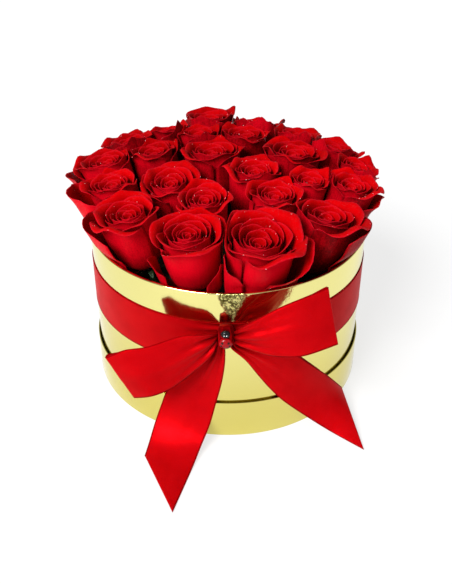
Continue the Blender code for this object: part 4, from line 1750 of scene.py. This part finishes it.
@dataclass
class Ladybird:
    """The small wooden ladybird glued on the knot, head up."""

    front: float = -121.1 * MM
    body_size: Triple = (5.2 * MM, 3.2 * MM, 4.5 * MM)
    head_size: Triple = (3.4 * MM, 2.6 * MM, 3.1 * MM)
    middle: float = 98.7 * MM
    spots: tuple[tuple[float, float], ...] = ((2.2, 1.7), (3.0, -0.8), (1.3, -2.7))
    eye_place: tuple[float, float] = (0.88 * MM, 0.2 * MM)
    eye_radius: float = 0.46 * MM
    eye_depth: float = 0.4 * MM
    eye_sunk: float = 0.15 * MM
    neck: float = 0.3 * MM

    @staticmethod
    def dome(
        centre: Triple, size: Triple, groove: float
    ) -> bpy.types.Mesh:
        """A half ellipsoid that bulges to the front, with a groove down its middle."""
        rings, sides = 14, 40
        angles = np.arange(sides) * math.tau / sides
        rows = []
        for i in range(rings):
            lift = math.pi / 2 * i / rings
            flat = math.cos(lift)
            x, z = flat * np.cos(angles), flat * np.sin(angles)
            y = math.sin(lift) - groove * np.exp(-((x / 0.06) ** 2)) * (z < 0.55)
            rows.append(np.stack([x * size[0], -y * size[1], z * size[2]], axis=-1))
        ends = np.array([[0, 0, 0], [0, -(1 - groove) * size[1], 0]]) + np.array(centre)
        made = closed_body("dome", np.array(rows) + np.array(centre), ends)
        smooth = np.ones(len(made.polygons), bool)
        smooth[-2 * sides : -sides] = False
        made.polygons.foreach_set("use_smooth", smooth)
        return made

    def build(self) -> None:
        """Builds the spotted body and the head with its two eyes."""
        places = [(side * x, z) for x, z in self.spots for side in (-1, 1)]
        spots = tuple((x * MM, self.middle + z * MM) for x, z in places)
        red = Lacquer("red lacquer", (0.26, 0.001, 0.003), spots).make()
        black = Lacquer("black lacquer", (0.006, 0.006, 0.007)).make()
        white = Lacquer("white lacquer", (0.85, 0.85, 0.83)).make()
        body = self.dome((0, self.front, self.middle), self.body_size, 0.05)
        body.materials.append(red)
        dress(new_piece("ladybird_wings", body), Slot.RED_LACQUER, "ladybird_body")
        height = self.middle + self.body_size[2] + self.head_size[2] + self.neck
        head = self.dome((0, self.front, height), self.head_size, 0.0)
        head.materials.append(black)
        eyes = []
        out, up = self.eye_place
        share = (out / self.head_size[0]) ** 2 + (up / self.head_size[2]) ** 2
        bulge = self.head_size[1] * math.sqrt(1 - share)
        for x in (-out, out):
            centre = (x, self.front - bulge + self.eye_sunk, height + up)
            eye = self.dome(centre, (self.eye_radius, self.eye_depth, self.eye_radius), 0.0)
            eye.materials.append(white)
            eyes.append(eye)
        face = new_piece("ladybird_face", joined([head, *eyes], "ladybird face"))
        dress(face, Slot.BLACK_LACQUER, "ladybird_head")


# The studio


@dataclass(frozen=True)
class Lamp:
    """A soft, even light from far away.

    It comes from a direction, its strength is in watts on a square metre, and its spread, which
    is how wide it looks, is in degrees.
    """

    name: str
    toward: Triple
    strength: float
    spread: float

    def build(self) -> None:
        """Adds the light to the scene."""
        data = bpy.data.lights.new(self.name, "SUN")
        data.energy = self.strength
        data.angle = math.radians(self.spread)
        made = bpy.data.objects.new(self.name, data)
        made.rotation_mode = "QUATERNION"
        made.rotation_quaternion = (-Vector(self.toward)).to_track_quat("-Z", "Y")
        bpy.context.scene.collection.objects.link(made)


@dataclass
class Studio:
    """Pale floor, soft light, and the camera at the photograph's angle."""

    yaw: float = -0.0145
    pitch: float = 0.5990
    roll: float = 0.0030
    eye: Triple = (0.0068, -0.5732, 0.4512)
    sky: float = 0.42
    key: Lamp = Lamp("key", (-0.44, -0.63, 0.64), 5.0, 28.0)
    fill: Lamp = Lamp("fill", (0.9, -0.5, 0.8), 0.2, 40.0)
    floor_half: float = 4.0
    sensor: float = 36.0
    lens: float = 809.9 * 36.0 / 584.0

    def build(self) -> None:
        """Builds the floor, the lights, the world and the camera."""
        scene = bpy.context.scene
        ground = bpy.data.meshes.new("floor")
        half = self.floor_half
        corners = [(-half, -half, 0), (half, -half, 0), (half, half, 0), (-half, half, 0)]
        ground.from_pydata(corners, [], [(0, 1, 2, 3)])
        floor = new_piece("studio_floor", ground, StudioFloor().make())
        world = bpy.data.worlds.new("studio")
        world.use_nodes = True
        sky = world.node_tree.nodes["Background"]
        sky.inputs["Color"].default_value = (1, 1, 1, 1)
        sky.inputs["Strength"].default_value = self.sky
        scene.world = world
        self.key.build()
        self.fill.build()
        self.camera(scene)
        scene.view_settings.view_transform = "Standard"

    def camera(self, scene: bpy.types.Scene) -> None:
        """Sets the camera where the photograph was taken from."""
        forward = Vector(
            (
                math.sin(self.yaw) * math.cos(self.pitch),
                math.cos(self.yaw) * math.cos(self.pitch),
                -math.sin(self.pitch),
            )
        )
        right = Vector((math.cos(self.yaw), -math.sin(self.yaw), 0))
        up = right.cross(forward)
        across = right * math.cos(self.roll) + up * math.sin(self.roll)
        above = -right * math.sin(self.roll) + up * math.cos(self.roll)
        matrix = Matrix((across, above, -forward)).transposed().to_4x4()
        matrix.translation = Vector(self.eye)
        data = bpy.data.cameras.new("camera")
        data.sensor_width = self.sensor
        data.lens = self.lens
        made = bpy.data.objects.new("camera", data)
        made.matrix_world = matrix
        scene.collection.objects.link(made)
        scene.camera = made


def main() -> None:
    """Builds every sub-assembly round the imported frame."""
    logging.basicConfig(level=logging.INFO, format="%(name)s %(message)s")
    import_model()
    Studio().build()
    HatBox().build()
    Ribbon().build()
    Ladybird().build()
    Bouquet().build()


if __name__ == "__main__":
    main()
